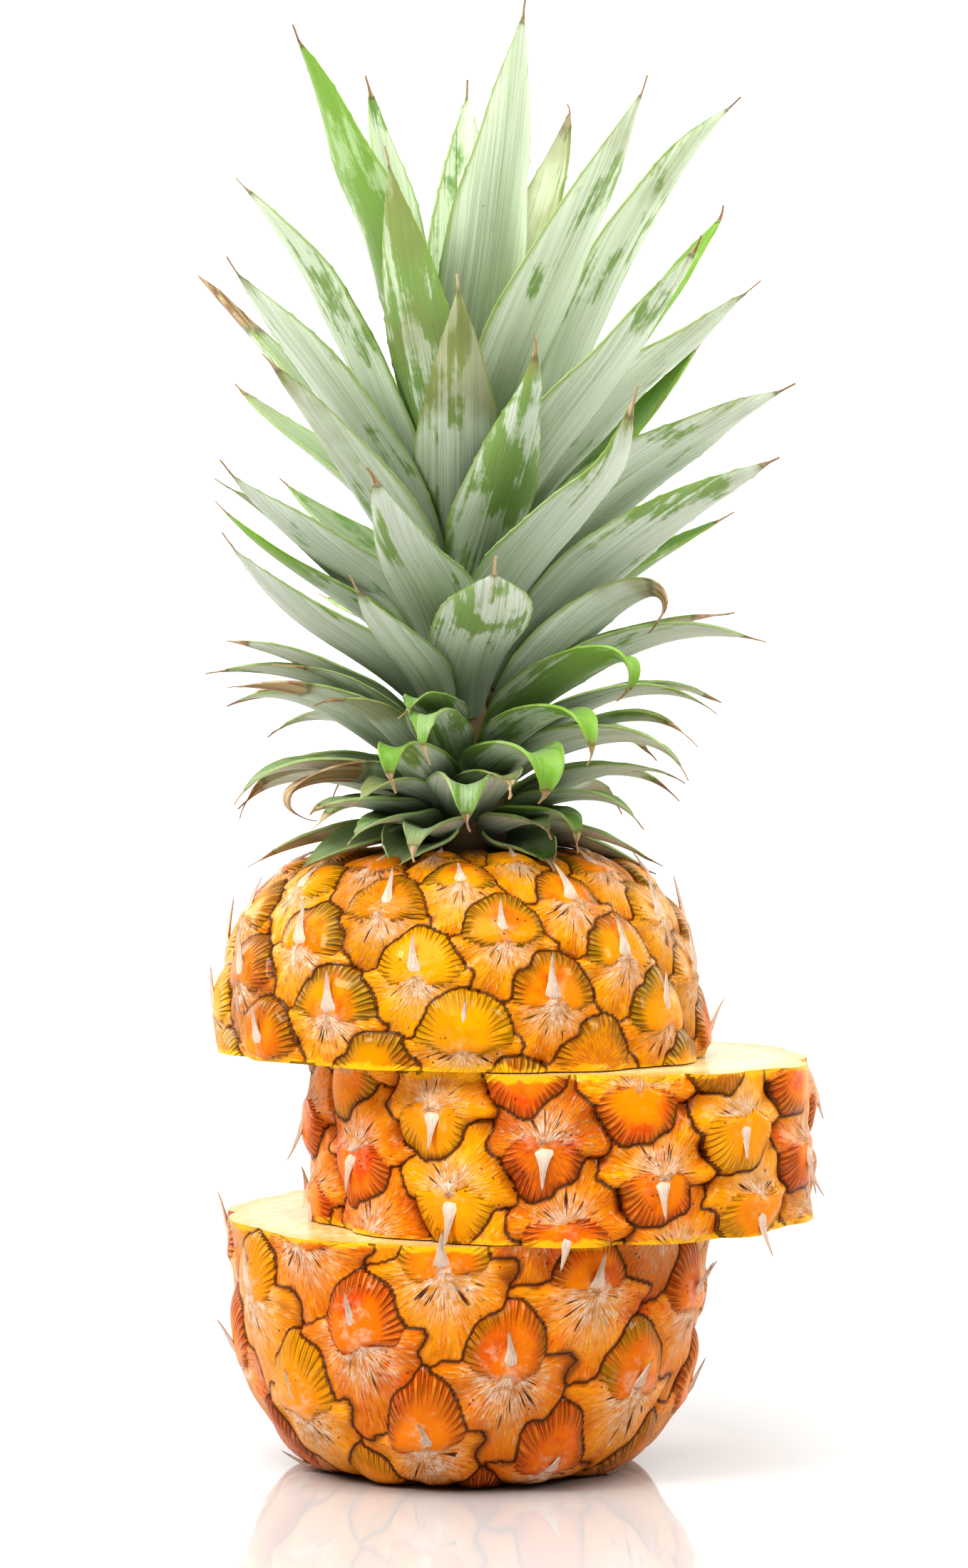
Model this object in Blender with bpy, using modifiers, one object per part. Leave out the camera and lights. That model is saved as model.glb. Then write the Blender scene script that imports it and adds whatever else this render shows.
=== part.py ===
"""A pineapple cut crosswise into three pieces and stacked again.

The base piece stands on the small flat spot at its bottom.  The middle slice lies
upside down on it, pushed towards +X, and the shoulder piece with the whole crown
stands on the slice.  Blender 4.5, metres, +Z up, origin in the middle of the flat
spot.  -Y is the front.
"""

import math

import bmesh
import bpy
from mathutils import Matrix, Vector

MM = 0.001
GAP = 0.3 * MM

# The two cuts: height on the stack's axis, and rise per unit along +X and along +Y.
LOWER_CUT = (62.2 * MM, 0.0, 0.012)
UPPER_CUT = (102.4 * MM, -0.015, 0.0)

# The base piece.
BASE_RADIUS = 59.0 * MM
BASE_ROUNDNESS = 2.5
REST_SPOT_RADIUS = 29.0 * MM

# The middle slice.
SLICE_RADIUS = 61.5 * MM
SLICE_BULGE = 1.0 * MM
SLICE_SHIFT = 23.0 * MM

# The shoulder piece.
SHOULDER_RADIUS = 60.0 * MM
SHOULDER_ROUNDNESS = 2.6
SHOULDER_HEIGHT = 50.0 * MM
SHOULDER_SHIFT = -2.0 * MM
CROWN_SEAT_RADIUS = 19.0 * MM

# The eyes of each piece's rind lie where two families of spirals cross.  Each piece
# has its first eye and a step along the steep and the flat family, all in degrees
# around and millimetres up the rind from the piece's cut, and the number of flat
# spirals.
BASE_EYES = ((-5.4, -5.7), (21.5, 14.8), (36.94, -5.55), 8)
SLICE_EYES = ((-5.2, 23.8), (24.4, 12.0), (29.75, -7.5), 8)
SHOULDER_EYES = ((-51.75, 2.56), (21.04, 9.64), (31.85, -6.03), 8)
EYES_ALONG = 12
EYE_WIDTH = 14.0 * MM
EYE_RELIEF = 2.6 * MM
ROUND_STEPS = 60
RIND_ROW = 6.0 * MM

# The stem that the crown's leaves grow on, above the shoulder.
STEM_HEIGHT = 88.0 * MM
STEM_FOOT_RADIUS = 14.0 * MM
STEM_TOP_RADIUS = 2.5 * MM

# A leaf's blade.
LEAF_THICKNESS = 0.8 * MM
LEAF_STATIONS = 8
LEAF_NECK = 0.3
LEAF_NECK_END = 0.4
LEAF_TAPER = 2.6
LEAF_CHANNEL = math.radians(38)
LEAF_BEND = 0.36
LEAF_STANDOFF = 1.6 * MM

# The leaves, from the heart of the crown down.  Each has its azimuth (0 is the
# front, 90 is +X), the foot's height above the shoulder and its lean, the tip's
# reach, height and lean, the blade's width, and how far the blade rolls about its
# own length on the way up.  Leans are from upright.  Angles are in degrees and
# lengths in millimetres.
LEAVES = (
    (38, 85, 3, 27, 208, 10, 25, 0),
    (175, 84, 5, 26, 196, 12, 20, 0),
    (-50, 79, 8, 52, 200, 28, 19, 0),
    (-130, 76, 10, 31, 196, 12, 16, 0),
    (140, 80, 8, 44, 191, 18, 15, 0),
    (50, 76, 12, 59, 187, 26, 26, 0),
    (92, 65, 26, 70, 188, 46, 20, 30),
    (-25, 72, 15, 37, 171, 6, 18, 0),
    (-158, 72, 12, 50, 172, 26, 20, 0),
    (-70, 65, 20, 58, 165, 44, 18, -8),
    (122, 63, 24, 80, 166, 30, 19, 0),
    (-178, 66, 18, 66, 140, 40, 20, 0),
    (0, 66, 10, 45, 139, 12, 24, 0),
    (52, 62, 18, 73, 148, 32, 22, 0),
    (-58, 60, 18, 66, 144, 42, 18, -10),
    (-128, 59, 20, 74, 120, 48, 20, 0),
    (24, 56, 18, 50, 123, 22, 21, 0),
    (76, 52, 30, 84, 115, 62, 21, 35),
    (125, 53, 22, 77, 132, 36, 19, 0),
    (-46, 51, 18, 65, 120, 44, 19, 0),
    (170, 49, 26, 78, 92, 60, 21, 0),
    (-68, 47, 30, 63, 96, 38, 18, -20),
    (42, 45, 18, 68, 108, 34, 22, 0),
    (-86, 43, 36, 61, 87, 40, 19, 0),
    (-18, 42, 14, 62, 92, 22, 24, 0),
    (78, 40, 34, 80, 97, 62, 20, 35),
    (-150, 39, 34, 76, 66, 70, 21, 0),
    (116, 36, 40, 77, 86, 60, 18, 0),
    (-60, 34, 46, 66, 78, 34, 17, -10),
    (8, 33, 16, 66, 71, 20, 22, 0),
    (70, 32, 36, 60, 58, 160, 19, 25),
    (150, 31, 40, 76, 50, 84, 20, 0),
    (-26, 30, 26, 58, 67, 40, 15, 0),
    (84, 28, 46, 76, 52, 108, 19, 20),
    (-78, 27, 48, 64, 44, 100, 17, -15),
    (-115, 26, 48, 66, 36, 110, 18, 0),
    (48, 25, 42, 62, 40, 165, 19, 15),
    (-14, 24, 40, 56, 40, 80, 16, 0),
    (180, 23, 50, 68, 28, 120, 19, 0),
    (95, 22, 52, 66, 37, 120, 15, 0),
    (-62, 21, 50, 64, 40, 100, 15, -10),
    (34, 19, 46, 62, 26, 150, 17, 0),
    (-40, 18, 48, 54, 36, 110, 14, 0),
    (125, 18, 54, 62, 22, 140, 17, 0),
    (-10, 17, 48, 60, 28, 140, 17, 0),
    (60, 16, 52, 64, 18, 155, 19, 10),
    (-88, 15, 54, 55, 8, 168, 15, -15),
    (-145, 14, 58, 58, 12, 150, 17, 0),
    (22, 12, 50, 62, 15, 165, 21, 0),
    (-58, 12, 54, 55, 6, 174, 17, -10),
    (78, 10, 66, 57, 17, 122, 14, 10),
    (-18, 9, 56, 60, 20, 150, 18, 0),
    (2, 7, 62, 58, 10, 150, 20, 0),
    (-42, 6, 70, 54, 10, 110, 16, 0),
    (42, 5, 74, 47, 4, 140, 16, 0),
    (165, 5, 76, 48, 4, 120, 15, 0),
    (-14, 3, 80, 50, 4, 110, 16, 0),
)


def material(name, colour, roughness):
    """A Principled material of one colour."""
    made = bpy.data.materials.new(name)
    made.use_nodes = True
    shader = made.node_tree.nodes["Principled BSDF"]
    shader.inputs["Base Color"].default_value = (*colour, 1.0)
    shader.inputs["Roughness"].default_value = roughness
    return made


def cut_height(cut, x, y):
    """The height of a sloping cut over a point."""
    height, along_x, along_y = cut
    return height + along_x * x + along_y * y


def rounded_end(spot_radius, full_radius, height, roundness):
    """(radius, height) pairs from a rounded end's full width, at 0, to its flat spot."""
    count = math.ceil((height + full_radius - spot_radius) / RIND_ROW)
    points = []
    for i in range(count + 1):
        turn = math.pi / 2 * i / count
        wide = math.cos(turn) ** (2 / roundness)
        up = math.sin(turn) ** (2 / roundness)
        points.append((spot_radius + (full_radius - spot_radius) * wide, height * up))
    return points


def rind_lengths(profile):
    """The distance along the rind from the profile's first point to each point."""
    lengths = [0.0]
    for (r0, z0), (r1, z1) in zip(profile, profile[1:]):
        lengths.append(lengths[-1] + math.hypot(r1 - r0, z1 - z0))
    return lengths


def eye_centres(first, steep, flat, flat_spirals):
    """The angle and the height up the rind of each eye."""
    centres = []
    for i in range(-EYES_ALONG, EYES_ALONG + 1):
        for j in range(flat_spirals):
            around = first[0] + i * steep[0] + j * flat[0]
            up = first[1] + i * steep[1] + j * flat[1]
            centres.append((math.radians(around), up * MM))
    return centres


def eye_relief(angle, up, radius, centres):
    """How far the rind stands out at a place, high on an eye and low between eyes."""
    gaps = []
    for eye_angle, eye_up in centres:
        around = (angle - eye_angle + math.pi) % math.tau - math.pi
        gaps.append(math.hypot(around * radius, eye_up - up))
    nearest, second = sorted(gaps)[:2]
    domed = min((second - nearest) / EYE_WIDTH, 1)
    return EYE_RELIEF * (math.sin(domed * math.pi / 2) - 0.6)


def turned(name, profile):
    """A closed solid from a profile of (radius, height) pairs, top to bottom."""
    mesh = bpy.data.meshes.new(name)
    points = [(radius, 0, height) for radius, height in profile]
    mesh.from_pydata(points, [(i, i + 1) for i in range(len(points) - 1)], [])
    piece = bpy.data.objects.new(name, mesh)
    bpy.context.scene.collection.objects.link(piece)
    screw = piece.modifiers.new("Turn", "SCREW")
    screw.steps = ROUND_STEPS
    screw.render_steps = ROUND_STEPS
    screw.use_merge_vertices = True
    screw.merge_threshold = 0.01 * MM
    screw.use_smooth_shade = False
    bpy.context.view_layer.update()
    graph = bpy.context.evaluated_depsgraph_get()
    solid = bpy.data.meshes.new_from_object(piece.evaluated_get(graph))
    bpy.data.objects.remove(piece)
    return solid


def fruit_piece(name, profile, cut_row, lower, upper, rind_above, shift, eyes, colour):
    """One piece of the fruit: turned, its rind raised into eyes, its cuts sloped.

    cut_row is the profile's point where the rind meets the cut that eyes count from.
    lower and upper are the heights on the axis that the cuts replace, each with its
    cut.  An end that isn't cut has a level one, and what is above upper stays level.
    """
    mesh = turned(name, profile)
    lengths = rind_lengths(profile)
    centres = eye_centres(*eyes)
    for vertex in mesh.vertices:
        radius = math.hypot(vertex.co.x, vertex.co.y)
        height = vertex.co.z
        if radius > rind_above:
            near = min(range(len(profile)), key=lambda i: math.dist(profile[i], (radius, height)))
            angle = math.atan2(vertex.co.x, -vertex.co.y)
            up = lengths[cut_row] - lengths[near]
            scale = 1 + eye_relief(angle, up, radius, centres) / radius
            vertex.co.x *= scale
            vertex.co.y *= scale
        vertex.co.x += shift
        rise = min((height - lower[0]) / (upper[0] - lower[0]), 1)
        low = cut_height(lower[1], vertex.co.x, vertex.co.y)
        high = cut_height(upper[1], vertex.co.x, vertex.co.y)
        vertex.co.z = low + (high - low) * rise + max(height - upper[0], 0)
    piece = bpy.data.objects.new(name, mesh)
    mesh.materials.append(material(name, colour, 0.3))
    return piece


def raised(cut, height):
    """A cut moved up by a height."""
    return (cut[0] + height, *cut[1:])


def level(height):
    """A level cut."""
    return (height, 0.0, 0.0)


def fruit_base():
    """The bottom of the fruit, standing on its flat spot."""
    top = LOWER_CUT[0]
    rind = rounded_end(REST_SPOT_RADIUS, BASE_RADIUS, top, BASE_ROUNDNESS)
    profile = [(0, top), *((radius, top - down) for radius, down in rind), (0, 0)]
    ends = (0, level(0)), (top, LOWER_CUT)
    return fruit_piece(
        "fruit_base", profile, 1, *ends, REST_SPOT_RADIUS - MM, 0, BASE_EYES, (0.75, 0.27, 0.04)
    )


def fruit_slice():
    """The middle slice, upside down and pushed to one side."""
    bottom = LOWER_CUT[0] + GAP
    thickness = UPPER_CUT[0] - bottom
    rows = math.ceil(thickness / RIND_ROW)
    rind = []
    for i in range(rows + 1):
        share = 1 - i / rows
        bulge = SLICE_BULGE * math.sin(math.pi * share)
        rind.append((SLICE_RADIUS + bulge, bottom + thickness * share))
    profile = [(0, rind[0][1]), *rind, (0, bottom)]
    ends = (bottom, raised(LOWER_CUT, GAP)), (UPPER_CUT[0], UPPER_CUT)
    return fruit_piece(
        "fruit_slice", profile, -2, *ends, MM, SLICE_SHIFT, SLICE_EYES, (0.82, 0.33, 0.03)
    )


def crown_seat():
    """The height of the shoulder's top, where the crown's stem begins."""
    return UPPER_CUT[0] + GAP + SHOULDER_HEIGHT


def fruit_shoulder():
    """The top of the fruit, with the stem of the crown that grows out of it."""
    bottom = UPPER_CUT[0] + GAP
    seat = crown_seat()
    rind = rounded_end(CROWN_SEAT_RADIUS, SHOULDER_RADIUS, SHOULDER_HEIGHT, SHOULDER_ROUNDNESS)
    stem = [(0, seat + STEM_HEIGHT), (STEM_TOP_RADIUS, seat + STEM_HEIGHT), (STEM_FOOT_RADIUS, seat)]
    profile = [*stem, *((radius, bottom + up) for radius, up in reversed(rind)), (0, bottom)]
    ends = (bottom, raised(UPPER_CUT, GAP)), (seat, level(seat))
    return fruit_piece(
        "fruit_shoulder", profile, -2, *ends, CROWN_SEAT_RADIUS + MM, SHOULDER_SHIFT, SHOULDER_EYES,
        (0.8, 0.4, 0.03),
    )


def stem_radius(height):
    """The stem's radius at a height above the shoulder."""
    return STEM_FOOT_RADIUS + (STEM_TOP_RADIUS - STEM_FOOT_RADIUS) * height / STEM_HEIGHT


def bezier(a, b, c, d, t):
    """The point at t on a cubic curve."""
    s = 1 - t
    return a * s**3 + b * 3 * s * s * t + c * 3 * s * t * t + d * t**3


def blade_width(t, taper):
    """A blade's width at t from foot to tip, as a share of its full width.

    It widens from the neck, and narrows to the tip over the last part, taper.
    """
    neck = LEAF_NECK + (1 - LEAF_NECK) * math.sin(math.pi / 2 * min(t / LEAF_NECK_END, 1))
    point = 1 - max(1 - (1 - t) / taper, 0) ** 1.6
    return neck * max(point, 0.03)


def leaf(name, azimuth, foot, foot_lean, reach, height, tip_lean, width, roll):
    """One leaf of the crown: a channelled blade along a curve that leans outwards."""
    turn, foot_lean, tip_lean = (math.radians(a) for a in (azimuth, foot_lean, tip_lean))
    outwards = Vector((math.sin(turn), -math.cos(turn), 0))
    across = Vector((math.cos(turn), math.sin(turn), 0))
    upwards = Vector((0, 0, 1))
    seat = Vector((SHOULDER_SHIFT, 0, crown_seat()))
    stem = stem_radius(foot * MM) + LEAF_STANDOFF
    start = seat + outwards * stem + upwards * foot * MM
    end = seat + outwards * reach * MM + upwards * height * MM
    length = (end - start).length
    taper = min(LEAF_TAPER * width * MM / length, 0.8)
    pull = length * LEAF_BEND
    after = start + (outwards * math.sin(foot_lean) + upwards * math.cos(foot_lean)) * pull
    before = end - (outwards * math.sin(tip_lean) + upwards * math.cos(tip_lean)) * pull
    rows = []
    for i in range(LEAF_STATIONS + 1):
        t = i / LEAF_STATIONS
        centre = bezier(start, after, before, end, t)
        ahead = bezier(start, after, before, end, min(t + 0.01, 1))
        behind = bezier(start, after, before, end, max(t - 0.01, 0))
        forwards = (ahead - behind).normalized()
        turned_by = Matrix.Rotation(-math.radians(roll) * min(t / LEAF_NECK_END, 1), 3, forwards)
        side = turned_by @ across
        inwards = forwards.cross(side)
        half = width * MM * blade_width(t, taper) / 2
        sideways = half * math.sin(LEAF_CHANNEL) / LEAF_CHANNEL
        lift = half * (1 - math.cos(LEAF_CHANNEL)) / LEAF_CHANNEL
        edge = inwards * lift
        rows.append((centre - side * sideways + edge, centre, centre + side * sideways + edge))
    return blade(name, rows)


def blade(name, rows):
    """A thin solid leaf from rows of points across it."""
    grid = bmesh.new()
    lines = [[grid.verts.new(point) for point in row] for row in rows]
    for low, high in zip(lines, lines[1:]):
        for i in range(len(low) - 1):
            grid.faces.new((low[i], low[i + 1], high[i + 1], high[i]))
    mesh = bpy.data.meshes.new(name)
    grid.to_mesh(mesh)
    grid.free()
    mesh.shade_smooth()
    mesh.materials.append(material(name, (0.3, 0.42, 0.2), 0.45))
    piece = bpy.data.objects.new(name, mesh)
    shell = piece.modifiers.new("Thickness", "SOLIDIFY")
    shell.thickness = LEAF_THICKNESS
    shell.offset = 0
    return piece


def main():
    """Clears the scene and builds the pineapple in its own collection."""
    for old in list(bpy.data.objects):
        bpy.data.objects.remove(old)
    pineapple = bpy.data.collections.new("pineapple")
    bpy.context.scene.collection.children.link(pineapple)
    for piece in (fruit_base(), fruit_slice(), fruit_shoulder()):
        pineapple.objects.link(piece)
    for number, measures in enumerate(LEAVES, start=1):
        pineapple.objects.link(leaf(f"crown_leaf_{number:02}", *measures))


main()
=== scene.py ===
"""The looks of a pineapple cut crosswise into three pieces and stacked again."""

import logging
import math
from dataclasses import dataclass
from enum import Enum, IntEnum

import bpy
import numpy as np
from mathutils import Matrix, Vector


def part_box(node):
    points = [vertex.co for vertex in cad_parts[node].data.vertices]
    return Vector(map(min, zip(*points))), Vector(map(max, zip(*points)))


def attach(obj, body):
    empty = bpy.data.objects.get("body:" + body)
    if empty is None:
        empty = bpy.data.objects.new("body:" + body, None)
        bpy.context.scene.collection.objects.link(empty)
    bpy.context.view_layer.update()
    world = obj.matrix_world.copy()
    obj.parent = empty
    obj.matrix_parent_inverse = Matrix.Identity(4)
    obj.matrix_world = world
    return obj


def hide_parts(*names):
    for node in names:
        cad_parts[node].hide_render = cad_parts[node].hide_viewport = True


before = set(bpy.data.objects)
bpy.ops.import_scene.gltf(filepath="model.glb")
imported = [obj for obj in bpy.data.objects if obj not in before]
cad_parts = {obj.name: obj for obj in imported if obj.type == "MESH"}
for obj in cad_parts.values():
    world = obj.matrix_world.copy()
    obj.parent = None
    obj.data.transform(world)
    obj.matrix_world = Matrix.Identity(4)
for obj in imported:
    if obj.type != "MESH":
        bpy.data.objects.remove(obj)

MM = 0.001
MEETING = 0.002 * MM
LOG = logging.getLogger("pineapple")
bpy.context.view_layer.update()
STEM_HEIGHT = 88.0 * MM
SHOULDER_LOW, SHOULDER_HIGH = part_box("fruit_shoulder")
CROWN_SEAT = Vector((
    (SHOULDER_LOW[0] + SHOULDER_HIGH[0]) / 2, 0.0, SHOULDER_HIGH[2] - STEM_HEIGHT
))
Colour = tuple[float, float, float]


# ---------------------------------------------------------------- shader maths


class Shade:
    """A socket of a node tree that takes part in ordinary arithmetic."""

    def __init__(self, nodes: "Nodes", socket: bpy.types.NodeSocket) -> None:
        """Wraps a socket of a node tree."""
        self.nodes = nodes
        self.socket = socket

    def maths(self, operation: str, *values: "Shade | float") -> "Shade":
        """A Math node on this socket and other values.

        Args:
            operation: The node's operation.
            values: The other operands, in order.

        Returns:
            The node's result.
        """
        inputs = dict(enumerate((self, *values)))
        return self.nodes.node("ShaderNodeMath", {"operation": operation}, inputs)

    def __add__(self, other: "Shade | float") -> "Shade":
        """The sum."""
        return self.maths("ADD", other)

    __radd__ = __add__

    def __mul__(self, other: "Shade | float") -> "Shade":
        """The product."""
        return self.maths("MULTIPLY", other)

    __rmul__ = __mul__

    def __sub__(self, other: "Shade | float") -> "Shade":
        """The difference."""
        return self.maths("SUBTRACT", other)

    def __rsub__(self, other: float) -> "Shade":
        """A number less this."""
        return (self * -1.0) + other

    def ramp(self, low: float, high: float) -> "Shade":
        """A smooth step from 0 at low to 1 at high.

        Args:
            low: The value that gives 0.
            high: The value that gives 1.

        Returns:
            The step.
        """
        settings = {"interpolation_type": "SMOOTHSTEP"}
        return self.nodes.node("ShaderNodeMapRange", settings, {0: self, 1: low, 2: high})

    def peak(self, centre: float, width: float) -> "Shade":
        """1 where this is at centre, fading to 0 a width away."""
        return 1.0 - (self - centre).maths("ABSOLUTE").ramp(0.0, width)


class Nodes:
    """A node tree, in which one method adds every node."""

    def __init__(self, tree: bpy.types.NodeTree) -> None:
        """Takes over a node tree."""
        self.tree = tree

    def node(self, kind: str, settings: dict, inputs: dict, output: int | str = 0) -> Shade:
        """Adds a node.

        Args:
            kind: The node's type.
            settings: Its own settings, which are set first.
            inputs: The value or link of each socket, by name or number.
            output: The socket that is returned.

        Returns:
            The output, ready for arithmetic.
        """
        node = self.tree.nodes.new(kind)
        for key, value in settings.items():
            setattr(node, key, value)
        for key, value in inputs.items():
            self.feed(node.inputs[key], value)
        return Shade(self, node.outputs[output])

    def feed(self, socket: bpy.types.NodeSocket, value: "Shade | float | tuple") -> None:
        """Links or sets a socket.

        Args:
            socket: The socket.
            value: What it is linked to, or its constant.
        """
        if isinstance(value, Shade):
            self.tree.links.new(value.socket, socket)
        elif isinstance(value, tuple) and len(value) == 3 and socket.type == "RGBA":
            socket.default_value = (*value, 1.0)
        else:
            socket.default_value = value

    def parts(self, vector: Shade) -> list[Shade]:
        """A vector's x, y and z."""
        first = self.node("ShaderNodeSeparateXYZ", {}, {0: vector})
        return [Shade(self, socket) for socket in first.socket.node.outputs]


class Finish(Nodes):
    """A material made of nodes, with a Principled shader."""

    def __init__(self, name: str, **constants: float | Colour) -> None:
        """Makes an empty material.

        Args:
            name: The material's name.
            constants: The shader's own constants, by socket in small letters.
        """
        self.material = bpy.data.materials.new(name)
        self.material.use_nodes = True
        super().__init__(self.material.node_tree)
        self.shader = self.tree.nodes["Principled BSDF"]
        for socket, value in constants.items():
            self.set(socket.replace("_", " ").title().replace("Ior", "IOR"), value)

    def set(self, socket: str, value: "Shade | float | tuple") -> None:
        """Links or sets one of the shader's sockets."""
        self.feed(self.shader.inputs[socket], value)

    def mix(self, share: "Shade | float", first: "Shade | Colour",
            second: "Shade | Colour") -> Shade:
        """A colour between two, by share.

        Args:
            share: 0 gives the first and 1 the second.
            first: A colour.
            second: A colour.

        Returns:
            The mixed colour.
        """
        inputs = {0: share, 6: first, 7: second}
        return self.node("ShaderNodeMix", {"data_type": "RGBA"}, inputs, 2)

    def attribute(self, name: str) -> tuple[Shade, Shade, Shade, Shade]:
        """The four numbers that a mesh attribute holds.

        Args:
            name: The attribute's name.

        Returns:
            The numbers, in order.
        """
        vector = self.node("ShaderNodeAttribute", {"attribute_name": name}, {}, "Vector")
        fourth = Shade(self, vector.socket.node.outputs["Alpha"])
        return (*self.parts(vector), fourth)

    def place(self) -> Shade:
        """The point's place on the object, in metres."""
        return self.node("ShaderNodeTexCoord", {}, {}, "Object")

    def vector(self, x: "Shade | float", y: "Shade | float", z: "Shade | float") -> Shade:
        """A vector of three values."""
        return self.node("ShaderNodeCombineXYZ", {}, {0: x, 1: y, 2: z})

    def noise(self, where: Shade, scale: float, detail: float = 3.0,
              roughness: float = 0.55) -> Shade:
        """Noise between 0 and 1.

        Args:
            where: The vector that it follows.
            scale: How fine it is.
            detail: How many finer layers are added.
            roughness: How strong those are.

        Returns:
            The noise.
        """
        inputs = {"Vector": where, "Scale": scale, "Detail": detail, "Roughness": roughness}
        return self.node("ShaderNodeTexNoise", {}, inputs)

    def cells(self, where: Shade, scale: float) -> Shade:
        """The distance in a pattern of cells."""
        return self.node("ShaderNodeTexVoronoi", {}, {"Vector": where, "Scale": scale})

    def bump(self, height: Shade, depth: float) -> None:
        """Raises the surface by a height, times a depth in metres."""
        inputs = {"Strength": 1.0, "Distance": depth, "Height": height}
        self.set("Normal", self.node("ShaderNodeBump", {}, inputs))

    def colour(self, value: Shade) -> None:
        """Sets the colour."""
        self.set("Base Color", value)

    def roughness(self, value: Shade) -> None:
        """Sets the roughness."""
        self.set("Roughness", value)


# ---------------------------------------------------------------- mesh helpers


def select(*pieces: bpy.types.Object) -> None:
    """Selects these pieces alone and makes the first active.

    Args:
        pieces: The pieces, or none.
    """
    for item in bpy.context.selected_objects:
        item.select_set(False)
    for piece in pieces:
        piece.select_set(True)
    if pieces:
        bpy.context.view_layer.objects.active = pieces[0]


def sheet(name: str, points: np.ndarray) -> bpy.types.Object:
    """A grid whose points are moved to given places.

    Args:
        name: The object's name.
        points: An array of rows by columns by three, in metres.

    Returns:
        The grid, its faces pointing along rows cross columns.
    """
    rows, columns = points.shape[:2]
    select()
    bpy.ops.mesh.primitive_grid_add(x_subdivisions=columns - 1, y_subdivisions=rows - 1, size=1)
    piece = bpy.context.active_object
    piece.name = name
    piece.data.name = name
    piece.data.vertices.foreach_set("co", points.astype(np.float32).ravel())
    piece.data.update()
    return piece


def set_attribute(piece: bpy.types.Object, name: str, values: np.ndarray) -> None:
    """Stores four numbers on each point of a piece."""
    layer = piece.data.attributes.new(name, "FLOAT_COLOR", "POINT")
    layer.data.foreach_set("color", values.astype(np.float32).ravel())


def close(piece: bpy.types.Object) -> None:
    """Merges a piece's points that meet, and turns its faces outwards.

    Args:
        piece: The piece.
    """
    select(piece)
    bpy.ops.object.mode_set(mode="EDIT")
    bpy.ops.mesh.select_all(action="SELECT")
    bpy.ops.mesh.remove_doubles(threshold=MEETING)
    bpy.ops.mesh.normals_make_consistent(inside=False)
    bpy.ops.object.mode_set(mode="OBJECT")


def apply_modifiers(piece: bpy.types.Object) -> None:
    """Applies a piece's modifiers.

    Args:
        piece: The piece.
    """
    select(piece)
    for modifier in list(piece.modifiers):
        bpy.ops.object.modifier_apply(modifier=modifier.name)


def smooth(piece: bpy.types.Object, degrees: float) -> None:
    """Shades a piece smooth, apart from edges sharper than an angle."""
    select(piece)
    bpy.ops.object.shade_smooth_by_angle(angle=math.radians(degrees))


def step(values: np.ndarray, low: float, high: float) -> np.ndarray:
    """A smooth step from 0 at low to 1 at high."""
    share = np.clip((values - low) / (high - low), 0, 1)
    return share * share * (3 - 2 * share)


def ripples(rng: np.random.Generator, x: np.ndarray, y: np.ndarray, size: float,
            count: int = 12) -> np.ndarray:
    """Smooth random relief, about -1 to 1, made of waves of about one size.

    Args:
        rng: The source of the waves.
        x: The first coordinate.
        y: The second coordinate, in the same unit.
        size: The waves' length.
        count: How many waves are added up.

    Returns:
        The relief at each point.
    """
    total = np.zeros(np.broadcast(x, y).shape)
    for _ in range(count):
        turn = rng.uniform(0, math.tau)
        wave = math.tau / size * rng.uniform(0.6, 1.5)
        along = x * math.cos(turn) + y * math.sin(turn)
        total = total + np.sin(wave * along + rng.uniform(0, math.tau))
    return total / math.sqrt(count)


# ----------------------------------------------------------------- the finishes


class Palette(Enum):
    """The ripeness of a piece's rind: its colours, and how dry its skin is."""

    SHOULDER = (
        (0.86, 0.32, 0.001), (0.24, 0.20, 0.003), (0.88, 0.42, 0.001), (0.58, 0.13, 0.001), 0.3
    )
    SLICE = (
        (0.87, 0.28, 0.001), (0.58, 0.13, 0.001), (0.92, 0.42, 0.001), (0.68, 0.07, 0.001), 0.3
    )
    BASE = (
        (0.85, 0.26, 0.001), (0.56, 0.12, 0.002), (0.90, 0.38, 0.002), (0.64, 0.07, 0.002), 0.6
    )

    @property
    def dome(self) -> Colour:
        """The middle of an eye's dome."""
        return self.value[0]

    @property
    def rim(self) -> Colour:
        """The rim of an eye's dome."""
        return self.value[1]

    @property
    def bract(self) -> Colour:
        """The fleshy bract under a dome."""
        return self.value[2]

    @property
    def blush(self) -> Colour:
        """The patches that ripened more."""
        return self.value[3]

    @property
    def powder(self) -> float:
        """How much dry white skin there is."""
        return self.value[4]


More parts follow.
